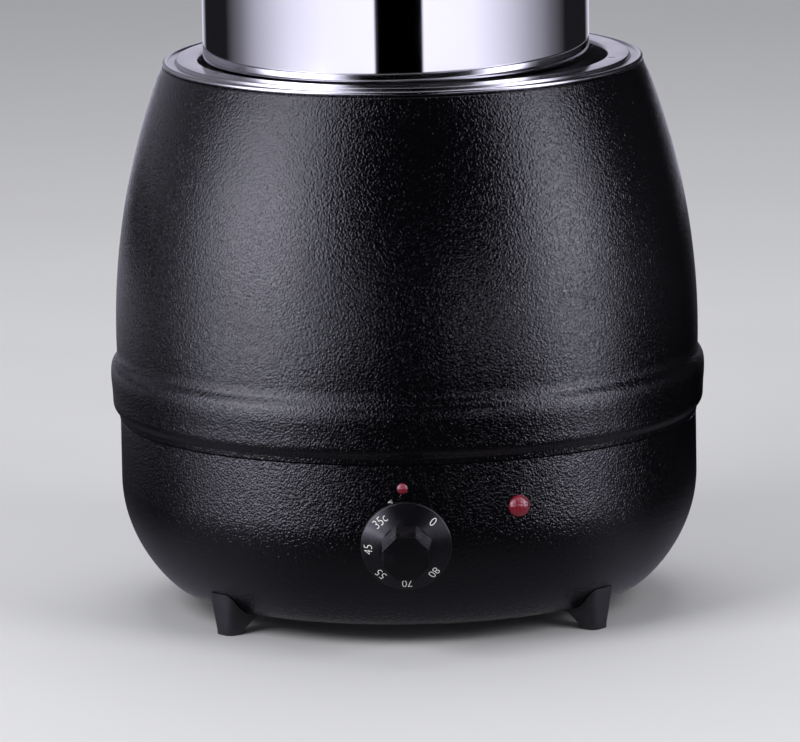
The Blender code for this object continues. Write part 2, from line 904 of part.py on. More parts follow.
def make_bottom_cover(base_pan):
    """A vented disc under the service opening, on three screws."""
    top = floor_height - fit_gap
    under = top - cover_thickness
    cover_radius = service_opening_radius + cover_overlap
    cover = rod("bottom_cover", cover_radius, under, top, black_coat, wide_facets)
    half = vent_width / 2
    slot = [(vent_length / 2 + half * math.cos(t), half * math.sin(t)) for t in half_circle_turns]
    slot += [(-x, -y) for x, y in slot]
    vent = shared_mesh(plate("vent", slot, under - cut_overrun, top + cut_overrun, black_coat))
    for i in range(vent_count):
        spoke = Matrix.Rotation(math.tau * i / vent_count, 4, "Z")
        middle = Matrix.Translation((vent_circle_radius, 0, (top + under) / 2))
        punch = copies(vent, "vent", {str(i): spoke @ middle})[0]
        cut(cover, punch)
    circle = service_opening_radius + cover_overlap / 2
    places = {}
    for i in range(cover_screw_count):
        azimuth = 360 * (i + 0.5) / cover_screw_count
        places[str(i + 1)] = Matrix.Translation(around(circle, azimuth))
    fastener = screw(
        "bottom_cover_screw",
        cover_screw_radius,
        cover_screw_head_radius,
        cover_screw_head_height,
        seat=under - fit_gap,
        tip=floor_height + cover_screw_grip,
    )
    copies(shared_mesh(fastener), "bottom_cover_screw", places)
    for key, place in places.items():
        at_floor = place @ Matrix.Translation((0, 0, floor_height))
        for plate_of, name in ((cover, "cover_drill_"), (base_pan, "cover_tap_")):
            drilled(plate_of, name + key, at_floor, cover_screw_radius + fit_gap, facets=screw_facets)


def make_tie_rods(base_pan):
    """Rods from the well's floor down through the base pan, with nuts that pull the shells together."""
    places = {}
    for i in range(tie_rod_count):
        azimuth = 360 * i / tie_rod_count
        places[str(i + 1)] = Matrix.Translation(around(tie_rod_circle_radius, azimuth))
    nut_top = floor_height - fit_gap
    nut_low = nut_top - tie_nut_height
    low, high = nut_low - tie_rod_end, well_under_height - fit_gap
    shank = rod("tie_rod", tie_rod_radius, low, high, plated_steel, screw_facets)
    copies(shared_mesh(shank), "tie_rod", places)
    hexagon = nut("tie_rod_nut", tie_nut_radius, nut_low, nut_top, tie_rod_radius + fit_gap)
    copies(shared_mesh(hexagon), "tie_rod_nut", places)
    for key, place in places.items():
        at_floor = place @ Matrix.Translation((0, 0, floor_height))
        drilled(base_pan, "tie_drill_" + key, at_floor, tie_rod_radius + fit_gap, facets=screw_facets)


# Heating element


def element_pin_place(side):
    """The middle of an element pin's lower end, on the left (-1) or the right (+1)."""
    place = around(element_ring_radius, 180 - side * element_gap_half_deg)
    place.z = element_height - element_bend_radius - element_leg_length - element_pin_length
    return place


def make_heating_element():
    """A sheathed ring whose two ends bend down to their pins at the rear."""
    steps = 28
    end = 180 - element_gap_half_deg - element_bend_deg
    azimuths = [end * (2 * i / steps - 1) for i in range(steps + 1)]
    ring = [around(element_ring_radius, azimuth, element_height) for azimuth in azimuths]

    def leg(side):
        stations = []
        bend_steps = 3
        for i in range(1, bend_steps + 1):
            turn = math.radians(90 * i / bend_steps)
            azimuth = side * (end + element_bend_deg * math.sin(turn))
            height = element_height - element_bend_radius * (1 - math.cos(turn))
            stations.append(around(element_ring_radius, azimuth, height))
        stations.append(stations[-1] - Vector((0, 0, element_leg_length)))
        return stations

    path = list(reversed(leg(-1))) + ring + leg(1)
    element = tube("heating_element", path, [element_tube_radius] * len(path), element_steel)
    for side in (-1, 1):
        foot = element_pin_place(side)
        pin = rod(
            f"element_pin_{side}",
            element_pin_radius,
            0,
            element_pin_length + element_leg_length / 2,
            element_steel,
            screw_facets,
        )
        pin.location = foot
        joined(element, pin)
    return element


def make_element_clamp():
    """A bar across the ring, on a stud under the middle of the well."""
    top = element_height - element_tube_radius - fit_gap
    under = top - clamp_bar_thickness
    length = 2 * (element_ring_radius + element_tube_radius + clamp_bar_overhang)
    size = (length, clamp_bar_width, clamp_bar_thickness)
    bar = block("element_clamp_bar", size, (0, 0, (top + under) / 2), plated_steel)
    hole_radius = clamp_stud_radius + fit_gap
    drilled(bar, "clamp_bar_hole", Matrix.Translation((0, 0, under)), hole_radius, clamp_nut_height)
    nut_top = under - fit_gap
    nut_low = nut_top - clamp_nut_height
    low, high = nut_low - clamp_stud_end, well_under_height - fit_gap
    rod("element_clamp_stud", clamp_stud_radius, low, high, plated_steel)
    nut("element_clamp_nut", clamp_nut_radius, nut_low, nut_top, hole_radius)


# Thermostat and knob


def d_outline(radius, flat_depth, steps=10):
    """A circle with a flat at its top."""
    half = math.acos((radius - flat_depth) / radius)
    turns = [math.pi / 2 + half + (math.tau - 2 * half) * i / steps for i in range(steps + 1)]
    return [(radius * math.cos(turn), radius * math.sin(turn)) for turn in turns]


def make_thermostat(base_pan, control):
    """The switch body behind the wall, its two screws, and its bulb on a capillary."""
    front = -thermostat_setback
    body = block(
        "thermostat_body",
        (thermostat_width, thermostat_height, thermostat_depth),
        (0, 0, front - thermostat_depth / 2),
        grey_nylon,
    )
    boss_depth = thermostat_setback - boss_setback + cut_overrun
    size = (boss_width, boss_height, boss_depth)
    boss = block("thermostat_boss", size, (0, 0, -boss_setback - boss_depth / 2), grey_nylon)
    joined(body, boss)
    socket = bore("shaft_socket", shaft_radius + fit_gap, front - shaft_socket_depth, cut_overrun)
    cut(body, socket)
    pieces = [body, boss, socket]
    hole_radius = control_screw_radius + fit_gap
    for side, place in ((-1, "left"), (1, "right")):
        x = side * control_screw_spacing / 2
        fastener = screw(
            "thermostat_screw_" + place,
            control_screw_radius,
            control_screw_head_radius,
            control_screw_head_height,
            seat=0,
            tip=-control_screw_length,
        )
        tapping = bore(
            "thermostat_tapping_" + place,
            hole_radius,
            -control_screw_length - fit_gap,
            cut_overrun,
            screw_facets,
        )
        cut(body, tapping)
        pieces += [moved(fastener, x), moved(tapping, x)]
        hole = control.matrix_world @ Matrix.Translation((x, 0, 0))
        drilled(base_pan, "thermostat_drill_" + place, hole, hole_radius, facets=screw_facets)
    for piece in pieces:
        carried(piece, control)
    drilled(base_pan, "shaft_drill", control.matrix_world, shaft_hole_radius)
    return body


def thermostat_rear(control, x, y=0.0):
    """A point on the thermostat's rear face, and the way out of it."""
    rear = -thermostat_setback - thermostat_depth - fit_gap
    place = control.matrix_world @ Vector((x, y, rear))
    away = control.matrix_world.to_3x3() @ Vector((0, 0, -1))
    return place, away


def make_bulb(control):
    """The bulb under the well with its capillary to the thermostat, and the clip that holds it."""
    bulb_height = well_under_height - fit_gap - bulb_radius
    half = bulb_length / 2
    start = Vector((-half, bulb_offset, bulb_height))
    end = Vector((half, bulb_offset, bulb_height))
    out = end + Vector((lead_stub, 0, 0))
    low = bulb_height - capillary_drop
    place, away = thermostat_rear(control, 0)
    leave = place + away * lead_stub
    stations = [end, out, Vector((out.x, 0, low)), Vector((leave.x, leave.y, low)), leave, place]
    line = smooth_path(stations, lead_sample_count)
    path = [start, end] + line[1:]
    radii = [bulb_radius, bulb_radius] + [capillary_radius] * (len(line) - 1)
    path.insert(2, end + Vector((capillary_radius, 0, 0)))
    radii.insert(2, capillary_radius)
    tube("thermostat_bulb", path, radii, copper)
    make_bulb_clip(bulb_height)


def make_bulb_clip(bulb_height):
    """A strip bent round the bulb, with two ears under the well."""
    inner = bulb_radius + fit_gap
    outer = inner + clip_strip
    top = well_under_height - fit_gap
    shelf = top - clip_strip
    ear = outer + clip_flange
    inside = [(inner * math.cos(t), bulb_height - inner * math.sin(t)) for t in half_circle_from_zero]
    outside = [(outer * math.cos(t), bulb_height - outer * math.sin(t)) for t in half_circle_from_zero]
    outline = [(inner, top)] + inside + [(-inner, top), (-ear, top), (-ear, shelf), (-outer, shelf)]
    outline += list(reversed(outside)) + [(outer, shelf), (ear, shelf), (ear, top)]
    clip = plate("bulb_clip", outline, -clip_width / 2, clip_width / 2, plated_steel)
    stand = Matrix(((0, 0, 1), (1, 0, 0), (0, 1, 0))).to_4x4()
    clip.matrix_world = Matrix.Translation((0, bulb_offset, 0)) @ stand @ clip.matrix_world


def make_knob(axis):
    """A dial skirt with an eight-sided tapered grip, and the flatted shaft that it turns."""
    back = knob_standoff
    edge = back + skirt_edge_height
    crown = edge + skirt_crown_height
    skirt = [
        (0, crown),
        (grip_base_half_width, crown),
        (skirt_radius, edge),
        (skirt_radius, back),
        (skirt_recess_radius, back),
        (skirt_recess_radius, back + skirt_recess_depth),
        (0, back + skirt_recess_depth),
    ]
    knob = turned("control_knob", skirt, black_plastic, facets=dial_facets)
    corner_share = 1 / math.cos(math.pi / grip_facets)
    grip = rod(
        "knob_grip",
        grip_base_half_width * corner_share,
        back + skirt_recess_depth + sheet,
        crown + grip_length,
        black_plastic,
        grip_facets,
        tip_radius=grip_tip_half_width * corner_share,
        turn=math.pi / grip_facets,
    )
    joined(knob, rounded(grip, grip_edge_radius))
    hub = rod("knob_hub", shaft_radius + fit_gap + knob_hub_wall, back, crown, black_plastic)
    joined(knob, hub)
    socket = plate(
        "knob_bore",
        d_outline(shaft_radius + fit_gap, shaft_flat_depth),
        back - cut_overrun,
        back + knob_bore_depth,
        black_plastic,
    )
    cut(knob, socket)
    shaft = plate(
        "thermostat_shaft",
        d_outline(shaft_radius, shaft_flat_depth),
        -thermostat_setback - shaft_socket_depth + fit_gap,
        back + knob_bore_depth - fit_gap,
        plated_steel,
    )
    for piece in (knob, grip, hub, socket, shaft):
        carried(piece, axis)


# Pilot lamps


def make_lamp(base_pan, name, azimuth_deg, height, lens_radius, dome_height, body_length):
    """A domed lens in the wall, the lamp behind it and the clip that holds them."""
    place = marker(name + "_axis", base_frame(azimuth_deg, height))
    neck_radius = lens_radius - lens_neck_inset
    lens_line = [(0, dome_height)]
    steps = 4
    for i in range(1, steps + 1):
        turn = math.pi / 2 * i / steps
        lens_line.append((lens_radius * math.sin(turn), fit_gap + (dome_height - fit_gap) * math.cos(turn)))
    lens_line += [(neck_radius, fit_gap), (neck_radius, -lens_neck_length), (0, -lens_neck_length)]
    lens = turned(name + "_lens", lens_line, red_lens, facets=pipe_facets)
    top = -lens_neck_length - fit_gap
    body = rod(name + "_body", neck_radius, top - body_length, top, white_ceramic)
    clip_top = -sheet - lamp_clip_setback
    clip_line = [
        (neck_radius + fit_gap, clip_top),
        (neck_radius + lamp_clip_width, clip_top),
        (neck_radius + lamp_clip_width, clip_top - lamp_clip_thickness),
        (neck_radius + fit_gap, clip_top - lamp_clip_thickness),
    ]
    clip = turned(name + "_clip", clip_line, plated_steel, closed=True, facets=pipe_facets)
    for piece in (lens, body, clip):
        carried(piece, place)
    drilled(base_pan, name + "_drill", place.matrix_world, neck_radius + fit_gap)
    rear = place.matrix_world @ Vector((0, 0, top - body_length - fit_gap))
    return rear, place.matrix_world.to_3x3() @ Vector((0, 0, -1))


# Cut-out, terminal block and gland


def cutout_blade_end(side):
    top = well_under_height - fit_gap - cutout_flange_height - cutout_height
    return Vector((side * cutout_blade_spacing / 2, -cutout_offset, top - cutout_blade_length))


def make_cutout():
    """A disc thermostat under the well with two blades."""
    top = well_under_height - fit_gap
    shelf = top - cutout_flange_height
    under = shelf - cutout_height
    line = [(0, top), (cutout_flange_radius, top), (cutout_flange_radius, shelf), (cutout_radius, shelf)]
    line += [(cutout_radius, under), (0, under)]
    body = turned("thermal_cutout", line, white_ceramic, facets=pipe_facets)
    body.location = (0, -cutout_offset, 0)
    for side in (-1, 1):
        end = cutout_blade_end(side)
        size = (cutout_blade_thickness, cutout_blade_width, cutout_blade_length + cutout_flange_height)
        blade = block(f"cutout_blade_{side}", size, (end.x, end.y, end.z + size[2] / 2), white_ceramic)
        joined(body, blade)


def block_place(height):
    """The middle of the terminal block, at a height."""
    return around(flat_radius - block_inset, block_azimuth_deg, height)


def block_entry(index):
    """The place of a wire's entry on the terminal block's front, counted from its middle."""
    front = block_depth / 2 + fit_gap
    return block_place(wiring_height) + Vector((index * block_entry_spacing, -front, 0))


def make_terminal_block(base_pan):
    size = (block_width, block_depth, block_height)
    centre = block_place(block_base_height + block_height / 2)
    body = block("terminal_block", size, centre, white_ceramic)
    rounded(body, block_edge_radius)
    seat = block_base_height + block_height + fit_gap
    stand = Matrix.Translation(block_place(0))
    fastener = screw(
        "terminal_block_screw",
        block_screw_radius,
        block_screw_head_radius,
        block_screw_head_height,
        seat=seat,
        tip=floor_height - fit_gap,
    )
    fastener.matrix_world = stand
    hole_radius = block_screw_radius + fit_gap
    at_base = stand @ Matrix.Translation((0, 0, block_base_height))
    drilled(body, "block_hole", at_base, hole_radius, block_height + cut_overrun, screw_facets)
    at_floor = stand @ Matrix.Translation((0, 0, floor_height))
    drilled(base_pan, "block_drill", at_floor, hole_radius, facets=screw_facets)


def make_gland(base_pan):
    """The cord gland at the rear: a threaded body, its dome nut and a lock nut inside."""
    place = marker("gland_axis", base_frame(180, gland_height))
    hex_top = fit_gap + gland_hex_length
    body = turned(
        "cord_gland_body",
        [
            (gland_bore_radius, hex_top + gland_collet_length),
            (gland_collet_radius, hex_top + gland_collet_length),
            (gland_collet_radius, hex_top - fit_gap),
            (gland_thread_radius, hex_top - fit_gap),
            (gland_thread_radius, -gland_thread_length),
            (gland_bore_radius, -gland_thread_length),
        ],
        grey_nylon,
        closed=True,
        facets=pipe_facets,
    )
    collar = rod("gland_hex", gland_hex_radius, fit_gap, hex_top, grey_nylon, 6)
    collar_bore = bore("gland_hex_bore", gland_collet_radius - fit_gap, -cut_overrun, hex_top + cut_overrun)
    cut(collar, collar_bore)
    joined(body, collar)
    dome_low = hex_top + fit_gap
    dome_top = dome_low + gland_dome_length
    socket_top = hex_top + gland_collet_length + fit_gap
    dome = turned(
        "cord_gland_dome_nut",
        [
            (gland_bore_radius, dome_top),
            (gland_dome_tip_radius, dome_top),
            (gland_dome_radius, dome_low + gland_dome_length / 2),
            (gland_dome_radius, dome_low),
            (gland_collet_radius + fit_gap, dome_low),
            (gland_collet_radius + fit_gap, socket_top),
            (gland_bore_radius, socket_top),
        ],
        grey_nylon,
        closed=True,
        facets=pipe_facets,
    )
    lock_top = -sheet - lock_nut_setback
    lock = nut(
        "cord_gland_lock_nut",
        gland_hex_radius,
        lock_top - lock_nut_length,
        lock_top,
        gland_thread_radius + fit_gap,
        grey_nylon,
        pipe_facets,
    )
    lock_bore = cutters.objects["cord_gland_lock_nut_bore"]
    for piece in (body, collar, collar_bore, dome, lock, lock_bore):
        carried(piece, place)
    drilled(base_pan, "gland_drill", place.matrix_world, gland_thread_radius + fit_gap)


# Wiring


def make_lead(name, start, start_away, end, end_away):
    """A wire that leaves one terminal, drops to the wiring height and rises to another."""
    ways = []
    for terminal, away in ((start, start_away), (end, end_away)):
        out = terminal + away * lead_stub
        low = Vector((out.x, out.y, wiring_height))
        ways.append([terminal, out, low] if (out - low).length > lead_radius else [terminal, out])
    path = smooth_path(ways[0] + list(reversed(ways[1])), lead_sample_count)
    tube(name, path, [lead_radius] * len(path), copper, resolution=1)


def make_lamp_lead(name, start, start_away, end, end_away):
    """A short wire from a lamp to the thermostat."""
    stations = [start, start + start_away * lead_stub, end + end_away * lead_stub, end]
    path = smooth_path(stations, lead_sample_count)
    tube(name, path, [lead_radius] * len(path), copper, resolution=1)


def make_wiring(control, power_lamp, heating_lamp):
    down = Vector((0, 0, -1))
    forward = Vector((0, -1, 0))
    side = thermostat_width * thermostat_terminal_share
    supply, away = thermostat_rear(control, side)
    make_lead("lead_supply", block_entry(1), forward, supply, away)
    switched, away = thermostat_rear(control, -side)
    make_lead("lead_switched", switched, away, cutout_blade_end(-1) + down * fit_gap, down)
    make_lead(
        "lead_element_live",
        cutout_blade_end(1) + down * fit_gap,
        down,
        element_pin_place(-1) + down * fit_gap,
        down,
    )
    make_lead("lead_element_neutral", element_pin_place(1) + down * fit_gap, down, block_entry(-1), forward)
    turn = control.matrix_world.to_3x3()
    middle = -thermostat_setback - thermostat_depth / 2
    flank = control.matrix_world @ Vector((thermostat_width / 2 + fit_gap, 0, middle))
    make_lamp_lead("lead_power_lamp", *power_lamp, flank, turn @ Vector((1, 0, 0)))
    crown = control.matrix_world @ Vector((-side, thermostat_height / 2 + fit_gap, middle))
    make_lamp_lead("lead_heating_lamp", *heating_lamp, crown, turn @ Vector((0, 1, 0)))


# Pot and lid


def make_pot(axis):
    """The lift-out pot, in a frame whose origin is the middle of its floor's underside."""
    line = vessel_line(
        flange_radius=pot_flange_radius,
        flange_top=pot_depth + pan_sheet,
        wall_radius=pot_radius,
        under=0,
        floor_corner=pot_corner_radius,
        neck=pot_neck_radius,
        bead=(pot_rim_bead_radius, pot_depth - pot_rim_bead_drop + pot_rim_bead_radius),
    )
    return carried(turned("soup_pot", line, polished_steel, facets=pan_facets), axis)


def lid_line():
    """The lid's top side from the crown out to its rim."""
    groove_outer = pot_mouth_radius - lid_groove_clearance
    groove_inner = groove_outer - lid_groove_width
    shoulder = groove_inner - lid_shoulder_run
    crown_top = lid_shoulder_height + lid_crown_height
    line = []
    steps = 3
    for i in range(steps + 1):
        share = i / steps
        line.append((shoulder * share, crown_top - lid_crown_height * share**2))
    line += [
        (groove_inner, pan_sheet - lid_groove_depth),
        (groove_outer, pan_sheet - lid_groove_depth),
        (groove_outer + pan_sheet, pan_sheet),
        (lid_rim_radius, pan_sheet),
    ]
    return line


def make_lid(axis):
    """A domed lid with a locating groove, a ladle notch and a turned knob on a screw."""
    lid = turned("lid", lid_line(), polished_steel, facets=pan_facets, wall=pan_sheet)
    half = ladle_notch_width / 2
    start = lid_rim_radius - ladle_notch_depth + half
    slot = [(start - half * math.cos(t), half * math.sin(t)) for t in half_circle_turns]
    outline = slot + [(lid_rim_radius + cut_overrun, half), (lid_rim_radius + cut_overrun, -half)]
    seat = lid_shoulder_height + lid_crown_height
    notch = plate("ladle_notch", outline, -lid_groove_depth - cut_overrun, seat, polished_steel)
    notch.rotation_euler = (0, 0, math.radians(ladle_notch_azimuth_deg - 90))
    cut(lid, notch)
    hole_radius = lid_screw_radius + fit_gap
    hole = drilled(lid, "lid_hole", Matrix.Translation((0, 0, seat)), hole_radius, lid_crown_height)
    low = seat + fit_gap
    top = low + lid_knob_height
    neck = low + lid_knob_height * lid_knob_neck_share
    brim = low + lid_knob_height * lid_knob_brim_share
    cap_radius = lid_knob_radius * lid_knob_cap_share
    crown = lid_knob_height * lid_knob_crown_share
    half_way = math.radians(45)
    knob = turned(
        "lid_knob",
        [
            (0, top),
            (cap_radius * math.sin(half_way), top - crown * (1 - math.cos(half_way))),
            (cap_radius, top - crown),
            (lid_knob_radius, brim + lid_knob_height * lid_knob_edge_share),
            (cap_radius, brim),
            (lid_knob_waist_radius, neck),
            (lid_knob_foot_radius, low + sheet),
            (lid_knob_foot_radius, low),
            (hole_radius, low),
            (hole_radius, low + lid_knob_bore_depth),
            (0, low + lid_knob_bore_depth),
        ],
        black_plastic,
        facets=lid_knob_facets,
    )
    fastener = screw(
        "lid_knob_screw",
        lid_screw_radius,
        lid_screw_head_radius,
        lid_screw_head_height,
        seat=seat - pan_sheet - lid_screw_setback,
        tip=low + lid_knob_bore_depth - fit_gap,
    )
    for piece in (lid, notch, cutters.objects["lid_hole"], knob, fastener):
        carried(piece, axis)
    return hole


def build():
    base_pan = make_base_pan()
    make_casing()
    make_water_pan()
    make_feet(base_pan)
    make_bottom_cover(base_pan)
    make_tie_rods(base_pan)
    make_heating_element()
    make_element_clamp()
    control = marker("control_axis", base_frame(control_azimuth_deg, control_height))
    knob_axis = marker("knob_axis", control.matrix_local.copy())
    make_thermostat(base_pan, control)
    make_bulb(control)
    make_knob(knob_axis)
    power_lamp = make_lamp(
        base_pan,
        "power_lamp",
        power_lamp_azimuth_deg,
        power_lamp_height,
        power_lens_radius,
        power_dome_height,
        power_body_length,
    )
    heating_lamp = make_lamp(
        base_pan,
        "heating_lamp",
        heating_lamp_azimuth_deg,
        heating_lamp_height,
        heating_lens_radius,
        heating_dome_height,
        heating_body_length,
    )
    make_cutout()
    make_terminal_block(base_pan)
    make_gland(base_pan)
    make_wiring(control, power_lamp, heating_lamp)
    pot_axis = marker("pot_axis", Matrix.Translation((pot_side_offset, 0, pot_bottom_height)))
    make_pot(pot_axis)
    lid_seat = Matrix.Translation((0, 0, pot_depth + pan_sheet + fit_gap))
    make_lid(marker("lid_axis", lid_seat, pot_axis))
    settled()


build()
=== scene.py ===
"""Soup kettle warmer, dressed for the camera over its packed frame.

Metres, +Z up. The dial faces -Y and +X is to its right. Azimuths are in degrees from the front
towards +X. The shells keep the frame's outlines, with fine steps and rounded edges.
"""

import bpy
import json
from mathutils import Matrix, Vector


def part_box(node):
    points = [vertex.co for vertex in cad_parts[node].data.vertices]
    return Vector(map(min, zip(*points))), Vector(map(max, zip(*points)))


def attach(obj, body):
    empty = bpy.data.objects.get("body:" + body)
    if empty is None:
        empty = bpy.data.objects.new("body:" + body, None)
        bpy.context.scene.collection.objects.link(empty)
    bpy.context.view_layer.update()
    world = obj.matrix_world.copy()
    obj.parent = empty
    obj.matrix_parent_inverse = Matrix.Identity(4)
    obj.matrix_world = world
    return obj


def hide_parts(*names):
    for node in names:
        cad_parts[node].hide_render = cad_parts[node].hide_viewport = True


bl_info = {
    "name": "Soup kettle warmer",
    "version": (1, 0, 0),
    "blender": (4, 5, 0),
    "location": "3D Viewport > Sidebar > Kettle",
    "description": "Dresses a water bath kettle with its shells, dial, lamps, feet and studio",
    "category": "Object",
}

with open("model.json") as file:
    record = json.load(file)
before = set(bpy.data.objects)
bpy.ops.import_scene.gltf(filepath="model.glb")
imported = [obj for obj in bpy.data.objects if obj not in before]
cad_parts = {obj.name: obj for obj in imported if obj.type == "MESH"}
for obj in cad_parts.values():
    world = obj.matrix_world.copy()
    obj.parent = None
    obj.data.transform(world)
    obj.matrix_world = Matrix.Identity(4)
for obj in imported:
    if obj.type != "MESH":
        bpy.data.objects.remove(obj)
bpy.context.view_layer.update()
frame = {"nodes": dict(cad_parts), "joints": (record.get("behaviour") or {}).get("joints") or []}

import json
import math

import bmesh
import bpy
from bpy.props import FloatProperty, FloatVectorProperty, IntProperty, PointerProperty
from bpy.types import Operator, Panel, PropertyGroup
from mathutils import Matrix, Vector

# Heights and radii of the frame's outlines
fit_gap = 0.0003
floor_height = 0.0117
rounding_top = 0.0746
seam_height = 0.1096
belt_top_height = 0.1463
belly_height = 0.1593
casing_top_height = 0.3113
casing_lip_width = 0.0105
base_radius = 0.1648
flat_radius = 0.1309
base_upper_handle = 0.0369
base_lower_handle = 0.0054
joggle_height = 0.0008
rim_overlap = 0.0220
service_opening_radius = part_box("bottom_cover")[1].x - 0.0110
ring_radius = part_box("water_pan")[1].x
ring_bead_radius = 0.00145
collar_top_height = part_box("water_pan")[1].z
ring_top_height = collar_top_height - 0.0009
groove_height = ring_top_height - 0.0012
well_radius = 0.11656
well_under_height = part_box("water_pan")[0].z
well_corner_radius = 0.0160
collar_radius = well_radius + 0.0125
well_neck_radius = 0.0010
pot_low, pot_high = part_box("soup_pot")
pot_radius = 0.10996
pot_corner_radius = 0.0020
pot_neck_radius = 0.0030
pot_bead_radius = 0.0016
pot_axis_x = (pot_low.x + pot_high.x) / 2
pot_flange_radius = (pot_high.x - pot_low.x) / 2
pot_wall_height = 0.2408
lid_seat_height = pot_low.z + pot_wall_height + 0.0013
foot_circle_radius = flat_radius + 0.0065
foot_screw_circle_radius = flat_radius - 0.0155

# Turns that a rounding is made of, and the distance at which doubled points are one
corner_steps = 4
weld_distance = 0.000001
weld_width = 0.00002


def linear(hex_colour):
    """An sRGB hex colour as linear red, green and blue."""
    shares = [int(hex_colour[i : i + 2], 16) / 255 for i in (1, 3, 5)]
    return tuple(s / 12.92 if s <= 0.04045 else ((s + 0.055) / 1.055) ** 2.4 for s in shares)


# Sizes and colours that a user would change


def length(name, description, default):
    return FloatProperty(name=name, description=description, default=default, unit="LENGTH", precision=4)


def colour(name, description, default):
    return FloatVectorProperty(
        name=name, description=description, default=linear(default), subtype="COLOR", size=3, min=0, max=1
    )


def strength(name, description, default, unit="NONE"):
    return FloatProperty(name=name, description=description, default=default, min=0, unit=unit)


class KettleShellSizes(PropertyGroup):
    """The turned shells"""

    belly_radius: length("Belly radius", "Outer radius of the casing at its widest", 0.1664)
    barrel_arc_radius: length("Barrel arc", "Radius of the casing's side, seen from the front", 0.4110)
    belt_rise: length("Belt rise", "How far the pressed belt stands proud of the barrel", 0.0036)
    sheet: length("Sheet", "Thickness of the casing's and the base's sheet", 0.0010)
    pan_sheet: length("Pan sheet", "Thickness of the well, the pot and the lid", 0.0010)
    edge_round: length("Edge round", "Rounding of a cut sheet edge", 0.0003)
    dimple_length: length("Dimple length", "Length of a pressed dimple in the well's flange", 0.0064)
    dimple_depth: length("Dimple depth", "Depth of a pressed dimple in the well's flange", 0.0008)
    steps: IntProperty(name="Steps", description="Faces round a shell", default=240, min=48)


class KettleDialSizes(PropertyGroup):
    """The dial and its print"""

    skirt_radius: length("Skirt radius", "Outer radius of the dial's skirt", 0.0255)
    grip_base: length("Grip base", "Half width of the eight-sided grip where it leaves the skirt", 0.0145)
    grip_tip: length("Grip tip", "Half width of the grip at its face", 0.0128)
    grip_length: length("Grip length", "How far the grip stands out of the skirt", 0.0162)
    edge_round: length("Edge round", "Rounding of the grip's edges", 0.00045)
    numeral_height: length("Numeral height", "Height of the printed numerals", 0.0050)
    numeral_radius: length("Numeral circle", "Radius of the circle the numerals stand on", 0.0210)
    print_thickness: length("Print thickness", "Thickness of the printed ink", 0.00006)
    mark_size: length("Index mark", "Length of the index mark above the dial", 0.0036)


class KettleFinishes(PropertyGroup):
    """Colours and grains"""

    coat_colour: colour("Coat", "Powder coat of the casing and the base", "#040406")
    coat_grain: length("Coat grain", "Width of one pebble of the powder coat", 0.0012)
    coat_depth: length("Coat depth", "Height of the powder coat's pebbles", 0.00030)
    polished_colour: colour("Polished steel", "Mirror-polished pot and lid", "#e2e2e4")
    satin_colour: colour("Satin steel", "Well and ring", "#d6d6d8")
    dial_colour: colour("Dial", "Moulded dial and lid knob", "#0a0a0d")
    print_colour: colour("Print", "Numerals and index mark", "#f2f2f0")
    lens_colour: colour("Lens", "Red lamp lenses", "#5c0614")
    foot_colour: colour("Feet", "Moulded feet", "#1b1b1f")
    nylon_colour: colour("Nylon", "Gland, thermostat and lock nut", "#2a2a2d")


class KettleStudio(PropertyGroup):
    """The stage, its lamps and the camera"""

    floor_colour: colour("Floor", "Pale studio floor", "#c4c4c7")
    world_colour: colour("Surround", "Light from all round", "#dcdde0")
    world_strength: strength("Surround strength", "Strength of the light from all round", 0.55)
    key_power: strength("Key power", "Power of the large left lamp", 46, "POWER")
    fill_power: strength("Fill power", "Power of the right lamp", 30, "POWER")
    top_power: strength("Top power", "Power of the lamp overhead", 26, "POWER")
    card_strength: strength("Card strength", "Brightness of the wide cards that the coat mirrors", 7.0)
    pot_card_strength: strength("Pot card strength", "Brightness of the cards that the pot mirrors", 1.35)
    card_radius: length("Card radius", "Distance of the cards that the coat and the steel mirror", 0.9)
    camera_distance: length("Camera distance", "From the object's middle to the camera", 5.0)
    camera_lens: FloatProperty(name="Lens", description="Focal length in millimetres", default=393.2, min=1)


class KettleSettings(PropertyGroup):
    """All of the kettle's settings"""

    shells: PointerProperty(name="Shells", description="Sizes of the turned shells", type=KettleShellSizes)
    dial: PointerProperty(name="Dial", description="Sizes of the dial", type=KettleDialSizes)
    finishes: PointerProperty(name="Finishes", description="Colours and grains", type=KettleFinishes)
    studio: PointerProperty(name="Studio", description="Floor, lamps and camera", type=KettleStudio)


# Outlines


def arc(centre_r, centre_z, radius, start_deg, end_deg, steps):
    """Points of an arc in an outline, with both ends."""
    points = []
    for i in range(steps + 1):
        turn = math.radians(start_deg + (end_deg - start_deg) * i / steps)
        points.append((centre_r + radius * math.cos(turn), centre_z + radius * math.sin(turn)))
    return points


def barrel_radius(shells, height):
    """Outer radius of the barrel at a height."""
    rise = height - belly_height
    return shells.belly_radius - shells.barrel_arc_radius + math.sqrt(shells.barrel_arc_radius**2 - rise**2)


# Share of the belt's height from its lip, and share of its rise there
belt_swell = (
    (1.0, 0.0), (0.965, 0.16), (0.93, 0.42), (0.89, 0.68), (0.85, 0.85), (0.80, 0.95), (0.74, 0.995),
    (0.68, 1.0), (0.58, 0.945), (0.47, 0.84), (0.36, 0.775), (0.28, 0.745), (0.24, 0.715),
    (0.21, 0.645), (0.185, 0.545), (0.165, 0.43), (0.145, 0.28), (0.125, 0.105), (0.108, -0.06),
    (0.094, -0.18), (0.082, -0.25), (0.07, -0.28), (0.0, -0.28),
)  # fmt: skip


def belt_line(shells):
    """The belt's outer side, from its foot on the barrel down to its lip."""
    foot = barrel_radius(shells, belt_top_height)
    height = belt_top_height - seam_height
    return [(foot + rise * shells.belt_rise, seam_height + share * height) for share, rise in belt_swell]


